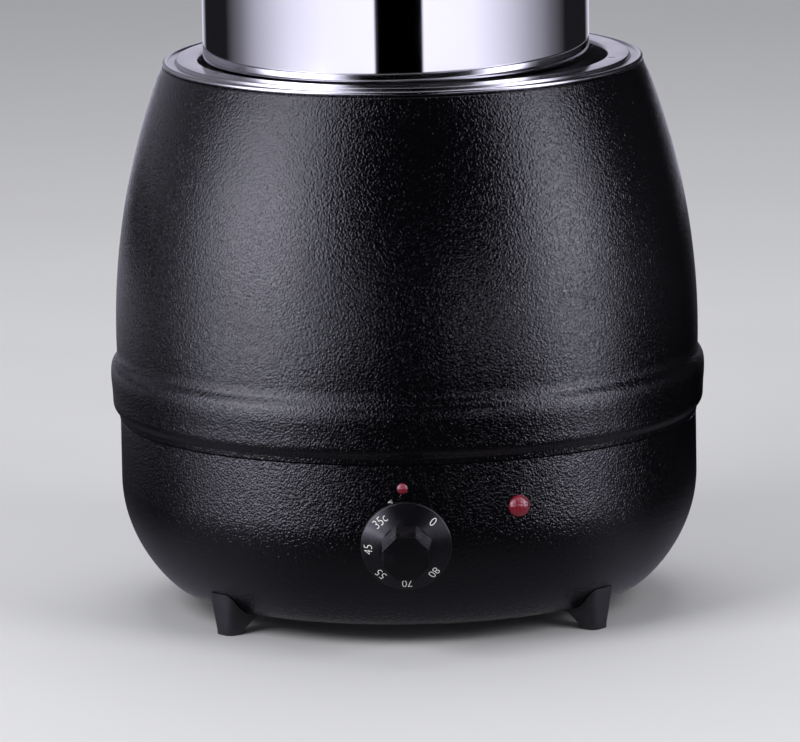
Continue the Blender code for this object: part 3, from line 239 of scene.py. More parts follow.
def casing_line(shells):
    """The casing's outer side, from its turned-in lip down to the belt's lip."""
    round_off = 0.0015
    top = barrel_radius(shells, casing_top_height)
    line = [(top - casing_lip_width, casing_top_height)]
    line += arc(top - round_off, casing_top_height - round_off, round_off, 90, 10, 6)
    low, high = belt_top_height, casing_top_height - round_off
    steps = 34
    heights = [high + (low - high) * i / steps for i in range(1, steps)]
    line += [(barrel_radius(shells, z), z) for z in heights]
    return line + belt_line(shells)


def bowl_point(share):
    """A point of the bowl's rounding, from the wall at 0 to the flat bottom at 1."""
    ends = (
        (base_radius, rounding_top),
        (base_radius, rounding_top - base_upper_handle),
        (flat_radius + base_lower_handle, floor_height),
        (flat_radius, floor_height),
    )
    rest = 1 - share
    weights = (rest**3, 3 * rest**2 * share, 3 * rest * share**2, share**3)
    return tuple(sum(w * end[axis] for w, end in zip(weights, ends)) for axis in (0, 1))


def bowl_line(steps=30):
    return [bowl_point(i / steps) for i in range(steps + 1)]


def base_line(shells):
    """The base pan's outer side, from its rim inside the belt down and in to the service opening."""
    rim_radius = belt_line(shells)[-1][0] - shells.sheet - fit_gap
    rim = [(rim_radius, seam_height + rim_overlap), (rim_radius, seam_height)]
    wall_steps = 6
    wall_top = seam_height - joggle_height
    wall = [(base_radius, wall_top + (rounding_top - wall_top) * i / wall_steps) for i in range(wall_steps)]
    return rim + wall + bowl_line() + [(service_opening_radius, floor_height)]


def well_line(shells):
    """The well's section, over its floor, up its wall, over the collar and the ring and back underneath."""
    sheet = shells.pan_sheet
    bead_z = ring_top_height - ring_bead_radius
    bead_r = ring_radius - ring_bead_radius
    over = math.degrees(math.asin((groove_height - bead_z) / ring_bead_radius))
    below = math.degrees(math.asin((groove_height - sheet - bead_z) / ring_bead_radius))
    wall = well_radius + sheet
    corner_r, corner_z = wall - well_corner_radius, well_under_height + well_corner_radius
    neck_r, neck_z = wall + well_neck_radius, collar_top_height - sheet - well_neck_radius
    step = 0.0006
    line = [(0, well_under_height + sheet), (corner_r * 0.5, well_under_height + sheet)]
    line += arc(corner_r, corner_z, well_corner_radius - sheet, -90, 0, 8)
    line += arc(neck_r, neck_z, well_neck_radius + sheet, 180, 90, 8)
    line += [(collar_radius, collar_top_height, 0.0005), (collar_radius + step, groove_height, 0.0004)]
    line += arc(bead_r, bead_z, ring_bead_radius, 180 - over, -180 - below, 18)
    line.append((collar_radius - sheet * 0.2, groove_height - sheet))
    line.append((collar_radius - sheet, collar_top_height - sheet))
    line += arc(neck_r, neck_z, well_neck_radius, 90, 180, 6)
    line += arc(corner_r, corner_z, well_corner_radius, 0, -90, 6)
    return line + [(0, well_under_height)]


def pot_line(shells):
    """The pot's section about its own axis, with heights from the underside of its floor."""
    sheet = shells.pan_sheet
    flange_top = pot_wall_height + sheet
    bead_z = pot_wall_height - 0.0002 + pot_bead_radius
    bead_r = pot_flange_radius - pot_bead_radius
    over = math.degrees(math.asin((flange_top - bead_z) / pot_bead_radius))
    below = math.degrees(math.asin((flange_top - sheet - bead_z) / pot_bead_radius))
    corner_r = pot_radius - pot_corner_radius
    neck_r, neck_z = pot_radius + pot_neck_radius, flange_top - sheet - pot_neck_radius
    line = [(0, sheet), (corner_r * 0.5, sheet)]
    line += arc(corner_r, pot_corner_radius, pot_corner_radius - sheet, -90, 0, 8)
    line += arc(neck_r, neck_z, pot_neck_radius + sheet, 180, 90, 8)
    line += arc(bead_r, bead_z, pot_bead_radius, 180 - over, -180 - below, 16)
    line += arc(neck_r, neck_z, pot_neck_radius, 90, 180, 6)
    line += arc(corner_r, pot_corner_radius, pot_corner_radius, 0, -90, 8)
    return line + [(0, 0)]


# Placing


def around(radius, azimuth_deg, height=0.0):
    """The point at a radius from the axis, an azimuth from the front and a height."""
    turn = math.radians(azimuth_deg)
    return Vector((radius * math.sin(turn), -radius * math.cos(turn), height))


def frame_at(origin, outward):
    """A frame whose +Z points outward and whose +X is level."""
    z = Vector(outward).normalized()
    x = Vector((0, 0, 1)).cross(z).normalized()
    y = z.cross(x)
    placed = Matrix((x, y, z)).transposed().to_4x4()
    placed.translation = origin
    return placed


def wall_frame(azimuth_deg, height):
    """The frame on the base's upright wall."""
    return frame_at(around(base_radius, azimuth_deg, height), around(1, azimuth_deg))


def dial_frame():
    """The frame of the dial's joint, on the bowl's wall."""
    joint = next(joint for joint in frame["joints"] if joint["name"] == "knob_turn")
    return frame_at(Vector(joint["pos_m"]), Vector(joint["axis"]))


lamp_frames = {"power_lamp": wall_frame(21.6, 0.0830), "heating_lamp": wall_frame(-1.4, 0.0960)}
gland_frame = wall_frame(180, 0.0840)


# Modelling


def outline_form(points, closed=False):
    """A bmesh of one outline of (radius, height) or (radius, height, rounding) points."""
    form = bmesh.new()
    corners = [form.verts.new((point[0], 0, point[1])) for point in points]
    for start, end in zip(corners, corners[1:]):
        form.edges.new((start, end))
    if closed:
        form.edges.new((corners[-1], corners[0]))
    for corner, point in zip(corners, points):
        if len(point) > 2 and point[2]:
            bmesh.ops.bevel(
                form,
                geom=[corner],
                offset=point[2],
                offset_type="OFFSET",
                segments=corner_steps,
                profile=0.5,
                affect="VERTICES",
                material=-1,
            )
    return form


def turned_form(points, steps, closed=False):
    """Spin an outline about Z."""
    form = outline_form(points, closed)
    bmesh.ops.spin(
        form,
        geom=form.verts[:] + form.edges[:],
        cent=(0, 0, 0),
        axis=(0, 0, 1),
        dvec=(0, 0, 0),
        angle=math.tau,
        steps=steps,
        use_merge=True,
        use_duplicate=False,
    )
    bmesh.ops.remove_doubles(form, verts=form.verts, dist=weld_distance)
    bmesh.ops.recalc_face_normals(form, faces=form.faces)
    return form


def rod_form(radius, low, high, facets, tip_radius=None, turn=0.0):
    """A cylinder, prism or taper along Z between two heights."""
    form = bmesh.new()
    bmesh.ops.create_cone(
        form,
        cap_ends=True,
        segments=facets,
        radius1=radius,
        radius2=radius if tip_radius is None else tip_radius,
        depth=high - low,
        matrix=Matrix.Translation((0, 0, (low + high) / 2)) @ Matrix.Rotation(turn, 4, "Z"),
    )
    return form


def block_form(size, centre):
    """A box of a size about a centre."""
    form = bmesh.new()
    bmesh.ops.create_cube(form, size=1, matrix=Matrix.Translation(centre) @ Matrix.Diagonal((*size, 1)))
    return form


def rounded(form, width, segments=3, angle_deg=25):
    """Round the edges of a bmesh that are sharper than an angle."""
    sharp = [e for e in form.edges if e.is_manifold and e.calc_face_angle(0) > math.radians(angle_deg)]
    bmesh.ops.bevel(
        form,
        geom=sharp,
        offset=width,
        offset_type="OFFSET",
        segments=segments,
        profile=0.5,
        affect="EDGES",
        clamp_overlap=True,
        material=-1,
    )
    return form


def placed(form, matrix):
    """Move a bmesh."""
    bmesh.ops.transform(form, matrix=matrix, verts=form.verts)
    return form


def shape(name, form):
    """An object of a bmesh, which is used up."""
    mesh = bpy.data.meshes.new(name)
    form.to_mesh(mesh)
    form.free()
    obj = bpy.data.objects.new(name, mesh)
    bpy.context.scene.collection.objects.link(obj)
    return obj


def walled(obj, thickness, edge_round):
    """Give a shell its wall, inside its outer face, with rounded rims."""
    wall = obj.modifiers.new("Wall", "SOLIDIFY")
    wall.thickness = thickness
    wall.offset = -1
    wall.use_even_offset = True
    rim = obj.modifiers.new("Rim", "BEVEL")
    rim.width = edge_round
    rim.segments = 3
    rim.limit_method = "ANGLE"
    rim.angle_limit = math.radians(60)
    return obj


def combined(obj, form, operation):
    """A Boolean of an object with a bmesh, worked in at once."""
    tool = shape(obj.name + "_tool", form)
    change = obj.modifiers.new("Change", "BOOLEAN")
    change.operation = operation
    change.solver = "EXACT"
    change.object = tool
    return worked(obj, tool)


def worked(obj, *used):
    """Work an object's modifiers into its mesh, and remove the objects that they used."""
    bpy.context.view_layer.update()
    seen = obj.evaluated_get(bpy.context.evaluated_depsgraph_get())
    mesh = bpy.data.meshes.new_from_object(seen)
    obj.modifiers.clear()
    old = obj.data
    obj.data = mesh
    bpy.data.meshes.remove(old)
    mesh.name = obj.name
    for tool in used:
        data = tool.data
        bpy.data.objects.remove(tool)
        bpy.data.meshes.remove(data)
    return obj


def joined_form(forms):
    """One bmesh of several, which are used up."""
    whole = bmesh.new()
    for form in forms:
        mesh = bpy.data.meshes.new("part")
        form.to_mesh(mesh)
        form.free()
        whole.from_mesh(mesh)
        bpy.data.meshes.remove(mesh)
    return whole


def dressed(obj, body, material, nodes=(), angle_deg=32):
    """Finish a piece: its shading, its material, the body that it rides on and the nodes it stands for."""
    if not obj.data.polygons:
        raise RuntimeError(obj.name + " has no faces")
    obj.data.materials.clear()
    obj.data.materials.append(material)
    obj.data.shade_smooth()
    obj.data.set_sharp_from_angle(angle=math.radians(angle_deg))
    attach(obj, body)
    if nodes:
        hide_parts(*nodes)
    return obj


def refinish(material, *names):
    """Give frame nodes that keep their shape a better material."""
    for name in names:
        for slot in frame["nodes"][name].material_slots:
            slot.material = material


# Materials. A pattern's scale is one over its real size in metres.

# The scale at which a wave node makes one wave in a metre
wave_scale = math.tau / 20


def add(tree, kind, sockets=None, stops=(), **settings):
    """Add a shader node, set it, and feed its sockets with values or other nodes' outputs."""
    made = tree.nodes.new("ShaderNode" + kind)
    for name, value in settings.items():
        setattr(made, name, value)
    for i, (position, shade) in enumerate(stops):
        elements = made.color_ramp.elements
        element = elements[i] if i < 2 else elements.new(position)
        element.position = position
        element.color = (shade, shade, shade, 1)
    for name, value in (sockets or {}).items():
        if isinstance(value, bpy.types.NodeSocket):
            tree.links.new(value, made.inputs[name])
        else:
            made.inputs[name].default_value = value
    return made


def finish(name, tint, roughness, metallic=0.0, **constants):
    """A Principled material with its tree, its shader and the object coordinates."""
    material = bpy.data.materials.get(name) or bpy.data.materials.new(name)
    material.use_nodes = True
    tree = material.node_tree
    tree.nodes.clear()
    shader = add(tree, "BsdfPrincipled")
    add(tree, "OutputMaterial", {"Surface": shader.outputs[0]})
    shader.inputs["Base Color"].default_value = (*tint, 1)
    shader.inputs["Roughness"].default_value = roughness
    shader.inputs["Metallic"].default_value = metallic
    for socket, value in constants.items():
        shader.inputs[socket.replace("_", " ")].default_value = value
    material.diffuse_color = (*tint, 1)
    return material, tree, shader, add(tree, "TexCoord").outputs["Object"]


def feed(tree, shader, **outputs):
    """Link outputs to a shader's sockets, whose names have _ for a space."""
    for socket, output in outputs.items():
        tree.links.new(output, shader.inputs[socket.replace("_", " ")])


def shades(tint, *factors):
    """A colour made darker or lighter by factors, as colours with alpha."""
    return [tuple(min(1, channel * factor) for channel in tint) + (1,) for factor in factors]


def pebbled_coat(finishes):
    """Polyester powder coat cured to a pebbled film, whose glossy crests break a soft light into glints."""
    tint = tuple(finishes.coat_colour)
    material, tree, shader, place = finish("pebbled_powder_coat", tint, 0.2, IOR=1.52)
    grain = {"Vector": place, "Scale": 1 / finishes.coat_grain, "Detail": 0.0, "Distortion": 0.6}
    pebbles = add(tree, "TexNoise", grain)
    level = pebbles.outputs[0]
    swell = {"Strength": 1.0, "Distance": finishes.coat_depth, "Height": level}
    relief = add(tree, "Bump", swell)
    gloss = {"Value": level, "From Min": 0.40, "From Max": 0.58, "To Min": 0.12, "To Max": 0.06}
    film = add(tree, "MapRange", gloss)
    # Painted shade and highlight: the pebbles' hollows are painted darker and their crests lighter, by the
    # same height that drives the bump
    dark, light = shades(tint, 0.6, 1.4)
    body = add(tree, "Mix", {0: level, 6: dark, 7: light}, data_type="RGBA")
    feed(tree, shader, Base_Color=body.outputs[2], Roughness=film.outputs[0], Normal=relief.outputs[0])
    return material


def polished_steel(finishes):
    """Stainless steel 1.4301, deep drawn and buffed: a mirror with hair-fine rings left by the buff."""
    tint = tuple(finishes.polished_colour)
    material, tree, shader, place = finish("mirror_polished_steel", tint, 0.045, 1.0)
    parts = add(tree, "SeparateXYZ", {0: place})
    flat = add(tree, "CombineXYZ", {0: parts.outputs[0], 1: parts.outputs[1]})
    reach = add(tree, "VectorMath", {0: flat.outputs[0]}, operation="LENGTH")
    rings = add(tree, "CombineXYZ", {0: reach.outputs["Value"], 2: parts.outputs[2]})
    hair = add(tree, "TexNoise", {"Vector": rings.outputs[0], "Scale": 1 / 0.0007, "Detail": 3})
    relief = add(tree, "Bump", {"Strength": 0.35, "Distance": 0.0000016, "Height": hair.outputs[0]})
    haze = add(tree, "TexNoise", {"Vector": place, "Scale": 1 / 0.045, "Detail": 4})
    worn = {"Value": haze.outputs[0], "From Min": 0.3, "From Max": 0.8, "To Min": 0.03, "To Max": 0.07}
    gloss = add(tree, "MapRange", worn)
    feed(tree, shader, Roughness=gloss.outputs[0], Normal=relief.outputs[0])
    return material


def satin_steel(finishes):
    """Stainless steel 1.4301, spun: fine rings left by the roller give the ring its silky, even light."""
    tint = tuple(finishes.satin_colour)
    material, tree, shader, place = finish("satin_spun_steel", tint, 0.2, 1.0)
    parts = add(tree, "SeparateXYZ", {0: place})
    flat = add(tree, "CombineXYZ", {0: parts.outputs[0], 1: parts.outputs[1]})
    reach = add(tree, "VectorMath", {0: flat.outputs[0]}, operation="LENGTH")
    rings = add(tree, "CombineXYZ", {0: reach.outputs["Value"], 2: parts.outputs[2]})
    # The roller's lines are about 0.1 mm apart and are drawn 0.6 mm apart, to show
    rolled = {"Vector": rings.outputs[0], "Scale": 1 / 0.0006, "Detail": 3, "Roughness": 0.7}
    lines = add(tree, "TexNoise", rolled)
    relief = add(tree, "Bump", {"Strength": 0.5, "Distance": 0.000012, "Height": lines.outputs[0]})
    haze = add(tree, "TexNoise", {"Vector": place, "Scale": 1 / 0.025, "Detail": 5})
    mixed = add(tree, "Math", {0: lines.outputs[0], 1: haze.outputs[0]}, operation="ADD")
    worn = {"Value": mixed.outputs[0], "From Min": 0.7, "From Max": 1.3, "To Min": 0.15, "To Max": 0.27}
    gloss = add(tree, "MapRange", worn)
    dark, light = shades(tint, 0.9, 1.0)
    body = add(tree, "Mix", {0: haze.outputs[0], 6: dark, 7: light}, data_type="RGBA")
    feed(tree, shader, Base_Color=body.outputs[2], Roughness=gloss.outputs[0], Normal=relief.outputs[0])
    return material


def plated_steel(threaded=False):
    """Zinc-plated steel: dull silver with faint yellow and blue clouds from the passivation."""
    name = "zinc_plated_thread" if threaded else "zinc_plated_steel"
    material, tree, shader, place = finish(name, linear("#b9b9b3"), 0.36, 1.0)
    cloud = add(tree, "TexNoise", {"Vector": place, "Scale": 1 / 0.008, "Detail": 3})
    warm, cool = (*linear("#c2bda6"), 1), (*linear("#aeb6be"), 1)
    body = add(tree, "Mix", {0: cloud.outputs[0], 6: warm, 7: cool}, data_type="RGBA")
    pits = add(tree, "TexNoise", {"Vector": place, "Scale": 1 / 0.0004, "Detail": 2})
    gloss = add(tree, "MapRange", {"Value": cloud.outputs[0], "To Min": 0.26, "To Max": 0.46})
    height = pits.outputs[0]
    depth = 0.00002
    if threaded:
        # A coarse metric thread has a pitch of 0.8 mm
        turns = {"Vector": place, "Scale": wave_scale / 0.0008, "Distortion": 0}
        thread = add(tree, "TexWave", turns, bands_direction="Z")
        height = thread.outputs["Fac"]
        depth = 0.0003
    relief = add(tree, "Bump", {"Strength": 0.6, "Distance": depth, "Height": height})
    feed(tree, shader, Base_Color=body.outputs[2], Roughness=gloss.outputs[0], Normal=relief.outputs[0])
    return material


def moulded_plastic(name, tint, roughness, grain, depth):
    """Injection-moulded plastic: the mould's fine spark grain, with worn, glossier clouds."""
    material, tree, shader, place = finish(name, tint, roughness, IOR=1.53)
    spark = add(tree, "TexNoise", {"Vector": place, "Scale": 1 / grain, "Detail": 2})
    relief = add(tree, "Bump", {"Strength": 0.5, "Distance": depth, "Height": spark.outputs[0]})
    wear = add(tree, "TexNoise", {"Vector": place, "Scale": 1 / 0.011, "Detail": 4})
    low, high = roughness * 0.8, roughness * 1.25
    worn = {"Value": wear.outputs[0], "From Min": 0.3, "From Max": 0.7, "To Min": low, "To Max": high}
    gloss = add(tree, "MapRange", worn)
    dark, light = shades(tint, 0.85, 1.3)
    body = add(tree, "Mix", {0: wear.outputs[0], 6: dark, 7: light}, data_type="RGBA")
    feed(tree, shader, Base_Color=body.outputs[2], Roughness=gloss.outputs[0], Normal=relief.outputs[0])
    return material


def dial_plastic(finishes):
    """Phenolic moulding, lightly buffed: a satin black that picks up a soft grey sheen."""
    return moulded_plastic("buffed_phenolic", tuple(finishes.dial_colour), 0.24, 0.0005, 0.00001)


def foot_plastic(finishes):
    """Nylon with glass fibre, moulded matt: dry and even, with a faint spark grain."""
    return moulded_plastic("matt_moulded_nylon", tuple(finishes.foot_colour), 0.48, 0.0006, 0.00003)


def gland_nylon(finishes):
    """Polyamide 6, moulded: smooth dark grey with a soft gloss."""
    return moulded_plastic("moulded_polyamide", tuple(finishes.nylon_colour), 0.40, 0.0006, 0.00002)


def print_ink(finishes):
    """Pad-printed ink: a flat white film, a little thin where the pad lifted."""
    tint = tuple(finishes.print_colour)
    material, tree, shader, place = finish("pad_printed_ink", tint, 0.55)
    thin = add(tree, "TexNoise", {"Vector": place, "Scale": 1 / 0.0007, "Detail": 3})
    dark, light = shades(tint, 0.80, 1.0)
    body = add(tree, "Mix", {0: thin.outputs[0], 6: dark, 7: light}, data_type="RGBA")
    relief = add(tree, "Bump", {"Strength": 0.3, "Distance": 0.00001, "Height": thin.outputs[0]})
    feed(tree, shader, Base_Color=body.outputs[2], Normal=relief.outputs[0])
    return material


def lens_plastic(finishes, name, rib_pitch):
    """Red polycarbonate over a ribbed reflector: glossy outside, with a painted highlight on each upright
    rib, whose crests are painted pale.
    """
    tint = tuple(finishes.lens_colour)
    material, tree, shader, place = finish(name, tint, 0.14, IOR=1.58, Coat_Weight=1.0, Coat_Roughness=0.04)
    waves = {"Vector": place, "Scale": wave_scale / rib_pitch, "Distortion": 0}
    ribs = add(tree, "TexWave", waves, bands_direction="X")
    relief = add(tree, "Bump", {"Strength": 0.5, "Distance": 0.0002, "Height": ribs.outputs["Fac"]})
    # Painted highlight: the ribs' crests are painted pale pink over the deep red, standing in for the
    # reflector's light seen through the lens
    pale, deep = (*linear("#8e2c3c"), 1), (*tint, 1)
    rib_highlight_share = add(tree, "MapRange", {"Value": ribs.outputs["Fac"], "From Min": 0.45, "From Max": 1.0})
    body = add(tree, "Mix", {0: rib_highlight_share.outputs[0], 6: deep, 7: pale}, data_type="RGBA")
    feed(tree, shader, Base_Color=body.outputs[2], Normal=relief.outputs[0])
    return material


def element_sheath():
    """Incoloy sheath, oxidised by heat: a dull brown-grey with darker bands."""
    material, tree, shader, place = finish("oxidised_sheath", linear("#86817a"), 0.5, 1.0)
    scale = add(tree, "TexNoise", {"Vector": place, "Scale": 1 / 0.006, "Detail": 5, "Roughness": 0.65})
    hot, cold = (*linear("#5a5048"), 1), (*linear("#8f8a82"), 1)
    body = add(tree, "Mix", {0: scale.outputs[0], 6: hot, 7: cold}, data_type="RGBA")
    relief = add(tree, "Bump", {"Strength": 0.4, "Distance": 0.00004, "Height": scale.outputs[0]})
    feed(tree, shader, Base_Color=body.outputs[2], Normal=relief.outputs[0])
    return material


def glazed_ceramic():
    """Steatite: chalky off-white with a thin, slightly pitted glaze."""
    material, tree, shader, place = finish("glazed_steatite", linear("#e2ddd2"), 0.32, IOR=1.6)
    pits = add(tree, "TexVoronoi", {"Vector": place, "Scale": 1 / 0.0014})
    relief = add(tree, "Bump", {"Strength": 0.25, "Distance": 0.00004, "Height": pits.outputs["Distance"]})
    cloud = add(tree, "TexNoise", {"Vector": place, "Scale": 1 / 0.007, "Detail": 3})
    dark, light = (*linear("#d2cbbc"), 1), (*linear("#ebe7de"), 1)
    body = add(tree, "Mix", {0: cloud.outputs[0], 6: dark, 7: light}, data_type="RGBA")
    feed(tree, shader, Base_Color=body.outputs[2], Normal=relief.outputs[0])
    return material


def drawn_copper():
    """Drawn copper: warm metal, tarnished brown in clouds, with fine draw lines."""
    material, tree, shader, place = finish("drawn_copper", linear("#b87350"), 0.3, 1.0)
    tarnish = add(tree, "TexNoise", {"Vector": place, "Scale": 1 / 0.007, "Detail": 4})
    dull, bright = (*linear("#8a5540"), 1), (*linear("#c98460"), 1)
    body = add(tree, "Mix", {0: tarnish.outputs[0], 6: dull, 7: bright}, data_type="RGBA")
    gloss = add(tree, "MapRange", {"Value": tarnish.outputs[0], "To Min": 0.42, "To Max": 0.22})
    feed(tree, shader, Base_Color=body.outputs[2], Roughness=gloss.outputs[0])
    return material


def wire_sleeve(name, hex_colour):
    """Glass-braid sleeve on a wire: a dull tint with the weave of the braid, 0.6 mm a strand."""
    tint = linear(hex_colour)
    material, tree, shader, place = finish(name, tint, 0.7)
    braid = add(tree, "TexChecker", {"Vector": place, "Scale": 1 / 0.0006})
    dark, light = shades(tint, 0.7, 1.15)
    body = add(tree, "Mix", {0: braid.outputs["Fac"], 6: dark, 7: light}, data_type="RGBA")
    relief = add(tree, "Bump", {"Strength": 0.6, "Distance": 0.0001, "Height": braid.outputs["Fac"]})
    feed(tree, shader, Base_Color=body.outputs[2], Normal=relief.outputs[0])
    return material


# Pieces


# Each foot's corner and its azimuth
foot_corners = {"front_left": -48, "front_right": 48, "rear_right": 132, "rear_left": 228}


def wall_holes():
    """Tools that drill the base for the dial's shaft, the lamps, the gland and the screws in its floor."""
    reach = 0.006
    drilled = (
        (0.0046, dial_frame()),
        (0.0056, lamp_frames["power_lamp"]),
        (0.0024, lamp_frames["heating_lamp"]),
        (0.0080, gland_frame),
    )
    drills = [placed(rod_form(radius, -reach, reach, 24), at) for radius, at in drilled]
    under = ["foot_screw_" + corner for corner in foot_corners]
    under += [f"{kind}_{i}" for kind in ("tie_rod", "bottom_cover_screw") for i in (1, 2, 3)]
    under.append("terminal_block_screw")
    radii = {"foot": 0.0023, "tie": 0.0028, "bottom": 0.0021, "terminal": 0.0021}
    floor_reach = 0.004
    for name in under:
        low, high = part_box(name)
        middle = (low + high) / 2
        radius = radii[name.split("_")[0]]
        drill = rod_form(radius, floor_height - floor_reach, floor_height + floor_reach, 16)
        drills.append(placed(drill, Matrix.Translation((middle.x, middle.y, 0))))
    return joined_form(drills)


def dimpled(form, shells):
    """Press the dimples down into the well's flange, beside its mouth."""
    circle = well_radius + 0.0050
    reach = shells.dimple_length
    for azimuth in (-60, 2, 78, 148, 222):
        middle = around(circle, azimuth, collar_top_height)
        near = [e for e in form.edges if all((v.co - middle).length < reach * 1.3 for v in e.verts)]
        bmesh.ops.subdivide_edges(form, edges=near, cuts=3, use_grid_fill=True)
        out, along = around(1, azimuth), around(1, azimuth + 90)
        for vert in form.verts:
            away = vert.co - middle
            if away.length < reach and vert.co.z > collar_top_height - 0.0001:
                share = math.hypot(away.dot(along) / (reach / 2), away.dot(out) / (reach * 0.32))
                if share < 1:
                    vert.co.z -= shells.dimple_depth * (math.cos(math.pi * share) + 1) / 2
    return form


def screw_form(radius, head_radius, head_height, seat, tip):
    """A pan-head screw on a Z axis, whose head bears at the seat and whose shank ends at the tip."""
    facing = 1 if seat > tip else -1
    top = seat + facing * head_height
    outline = [
        (0, top),
        (head_radius * 0.98, top, head_radius * 0.42),
        (head_radius, seat, 0.0002),
        (radius, seat),
        (radius, tip + facing * radius * 0.5),
        (radius * 0.6, tip),
        (0, tip),
    ]
    return turned_form(outline, 32)


def cross_recessed(obj, width, top, depth):
    """Cut a cross recess into a screw's head."""
    arm, slit = width * 2.6, width * 0.62
    for size in ((arm, slit, 2 * depth), (slit, arm, 2 * depth)):
        combined(obj, block_form(size, (0, 0, top)), "DIFFERENCE")
    return obj


class KETTLE_OT_make_casing(Operator):
    """Make the barrel casing with the belt pressed round its foot"""

    bl_idname = "kettle.make_casing"
    bl_label = "Upper casing"

    def execute(self, context):
        kettle = context.scene.soup_kettle
        shells = kettle.shells
        casing = shape("barrel_casing", turned_form(casing_line(shells), shells.steps))
        walled(casing, shells.sheet, shells.edge_round)
        worked(casing)
        dressed(casing, "kettle", pebbled_coat(kettle.finishes), ["upper_casing"], 40)
        return {"FINISHED"}


class KETTLE_OT_make_base(Operator):
    """Make the drawn bowl under the belt, and finish the cover that closes it"""

    bl_idname = "kettle.make_base"
    bl_label = "Base pan"

    def execute(self, context):
        kettle = context.scene.soup_kettle
        shells = kettle.shells
        base = shape("base_bowl", turned_form(base_line(shells), shells.steps))
        walled(base, shells.sheet, shells.edge_round)
        worked(base)
        combined(base, wall_holes(), "DIFFERENCE")
        coat = pebbled_coat(kettle.finishes)
        dressed(base, "kettle", coat, ["base_pan"], 40)
        refinish(coat, "bottom_cover")
        return {"FINISHED"}


class KETTLE_OT_make_well(Operator):
    """Make the water well with its beaded ring and pressed dimples"""

    bl_idname = "kettle.make_well"
    bl_label = "Water well"

    def execute(self, context):
        kettle = context.scene.soup_kettle
        shells = kettle.shells
        form = turned_form(well_line(shells), shells.steps)
        well = shape("water_well", dimpled(form, shells))
        dressed(well, "kettle", satin_steel(kettle.finishes), ["water_pan"], 45)
        return {"FINISHED"}


class KETTLE_OT_make_pot(Operator):
    """Make the mirror-polished pot that lifts out of the well"""

    bl_idname = "kettle.make_pot"
    bl_label = "Soup pot"

    def execute(self, context):
        kettle = context.scene.soup_kettle
        form = turned_form(pot_line(kettle.shells), kettle.shells.steps)
        placed(form, Matrix.Translation((pot_axis_x, 0, pot_low.z)))
        pot = shape("lift_out_pot", form)
        dressed(pot, "pot", polished_steel(kettle.finishes), ["soup_pot"], 45)
        return {"FINISHED"}


class KETTLE_OT_make_lid(Operator):
    """Make the lid with its ladle notch, its knob and the knob's screw"""

    bl_idname = "kettle.make_lid"
    bl_label = "Lid and knob"

    def execute(self, context):
        kettle = context.scene.soup_kettle
        sheet = kettle.shells.pan_sheet
        axis = Matrix.Translation((pot_axis_x, 0, lid_seat_height))
        rim = (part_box("lid")[1].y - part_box("lid")[0].y) / 2
        groove_outer = pot_radius - sheet - 0.0022
        groove_inner = groove_outer - 0.0040
        shoulder = groove_inner - 0.0100
        crown_top, crown, groove_floor = 0.0180, 0.0120, sheet - 0.0065
        steps = 18
        line = [(shoulder * i / steps, crown_top - crown * (i / steps) ** 2) for i in range(steps)]
        line += [
            (shoulder, crown_top - crown, 0.0030),
            (groove_inner, groove_floor, 0.0012),
            (groove_outer, groove_floor, 0.0012),
            (groove_outer + sheet, sheet, 0.0020),
            (rim, sheet),
        ]
        lid = shape("steel_lid", turned_form(line, kettle.shells.steps))
        walled(lid, sheet, kettle.shells.edge_round)
        worked(lid)
        half, depth = 0.0130, 0.0270
        notch_end = rod_form(half, -0.02, crown_top, 48)
        placed(notch_end, Matrix.Translation((rim - depth + half, 0, 0)))
        notch = block_form((depth, 2 * half, 0.038), (rim - depth / 2 + half, 0, -0.001))
        screw_hole, screw_depth = 0.0028, 0.0150
        hole = rod_form(screw_hole, 0.0, 0.0300, 24)
        combined(lid, notch_end, "DIFFERENCE")
        combined(lid, notch, "DIFFERENCE")
        combined(lid, hole, "DIFFERENCE")
        lid.data.transform(axis)
        dressed(lid, "cover", polished_steel(kettle.finishes), ["lid"], 40)

        low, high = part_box("lid_knob")
        tall = high.z - low.z
        wide = (high.x - low.x) / 2
        outline = [
            (0, tall),
            (wide * 0.50, tall * 0.975),
            (wide * 0.80, tall * 0.90),
            (wide * 0.96, tall * 0.80, 0.0015),
            (wide, tall * 0.70, 0.0012),
            (wide * 0.90, tall * 0.62, 0.0020),
            (wide * 0.44, tall * 0.42, 0.0040),
            (wide * 0.42, tall * 0.22, 0.0030),
            (wide * 0.59, tall * 0.05, 0.0012),
            (wide * 0.59, 0, 0.0003),
            (screw_hole, 0),
            (screw_hole, screw_depth),
            (0, screw_depth),
        ]
        form = placed(turned_form(outline, 96), Matrix.Translation((pot_axis_x, 0, low.z)))
        knob = shape("turned_lid_knob", form)
        dressed(knob, "cover", dial_plastic(kettle.finishes), ["lid_knob"], 50)
        refinish(plated_steel(), "lid_knob_screw")
        return {"FINISHED"}


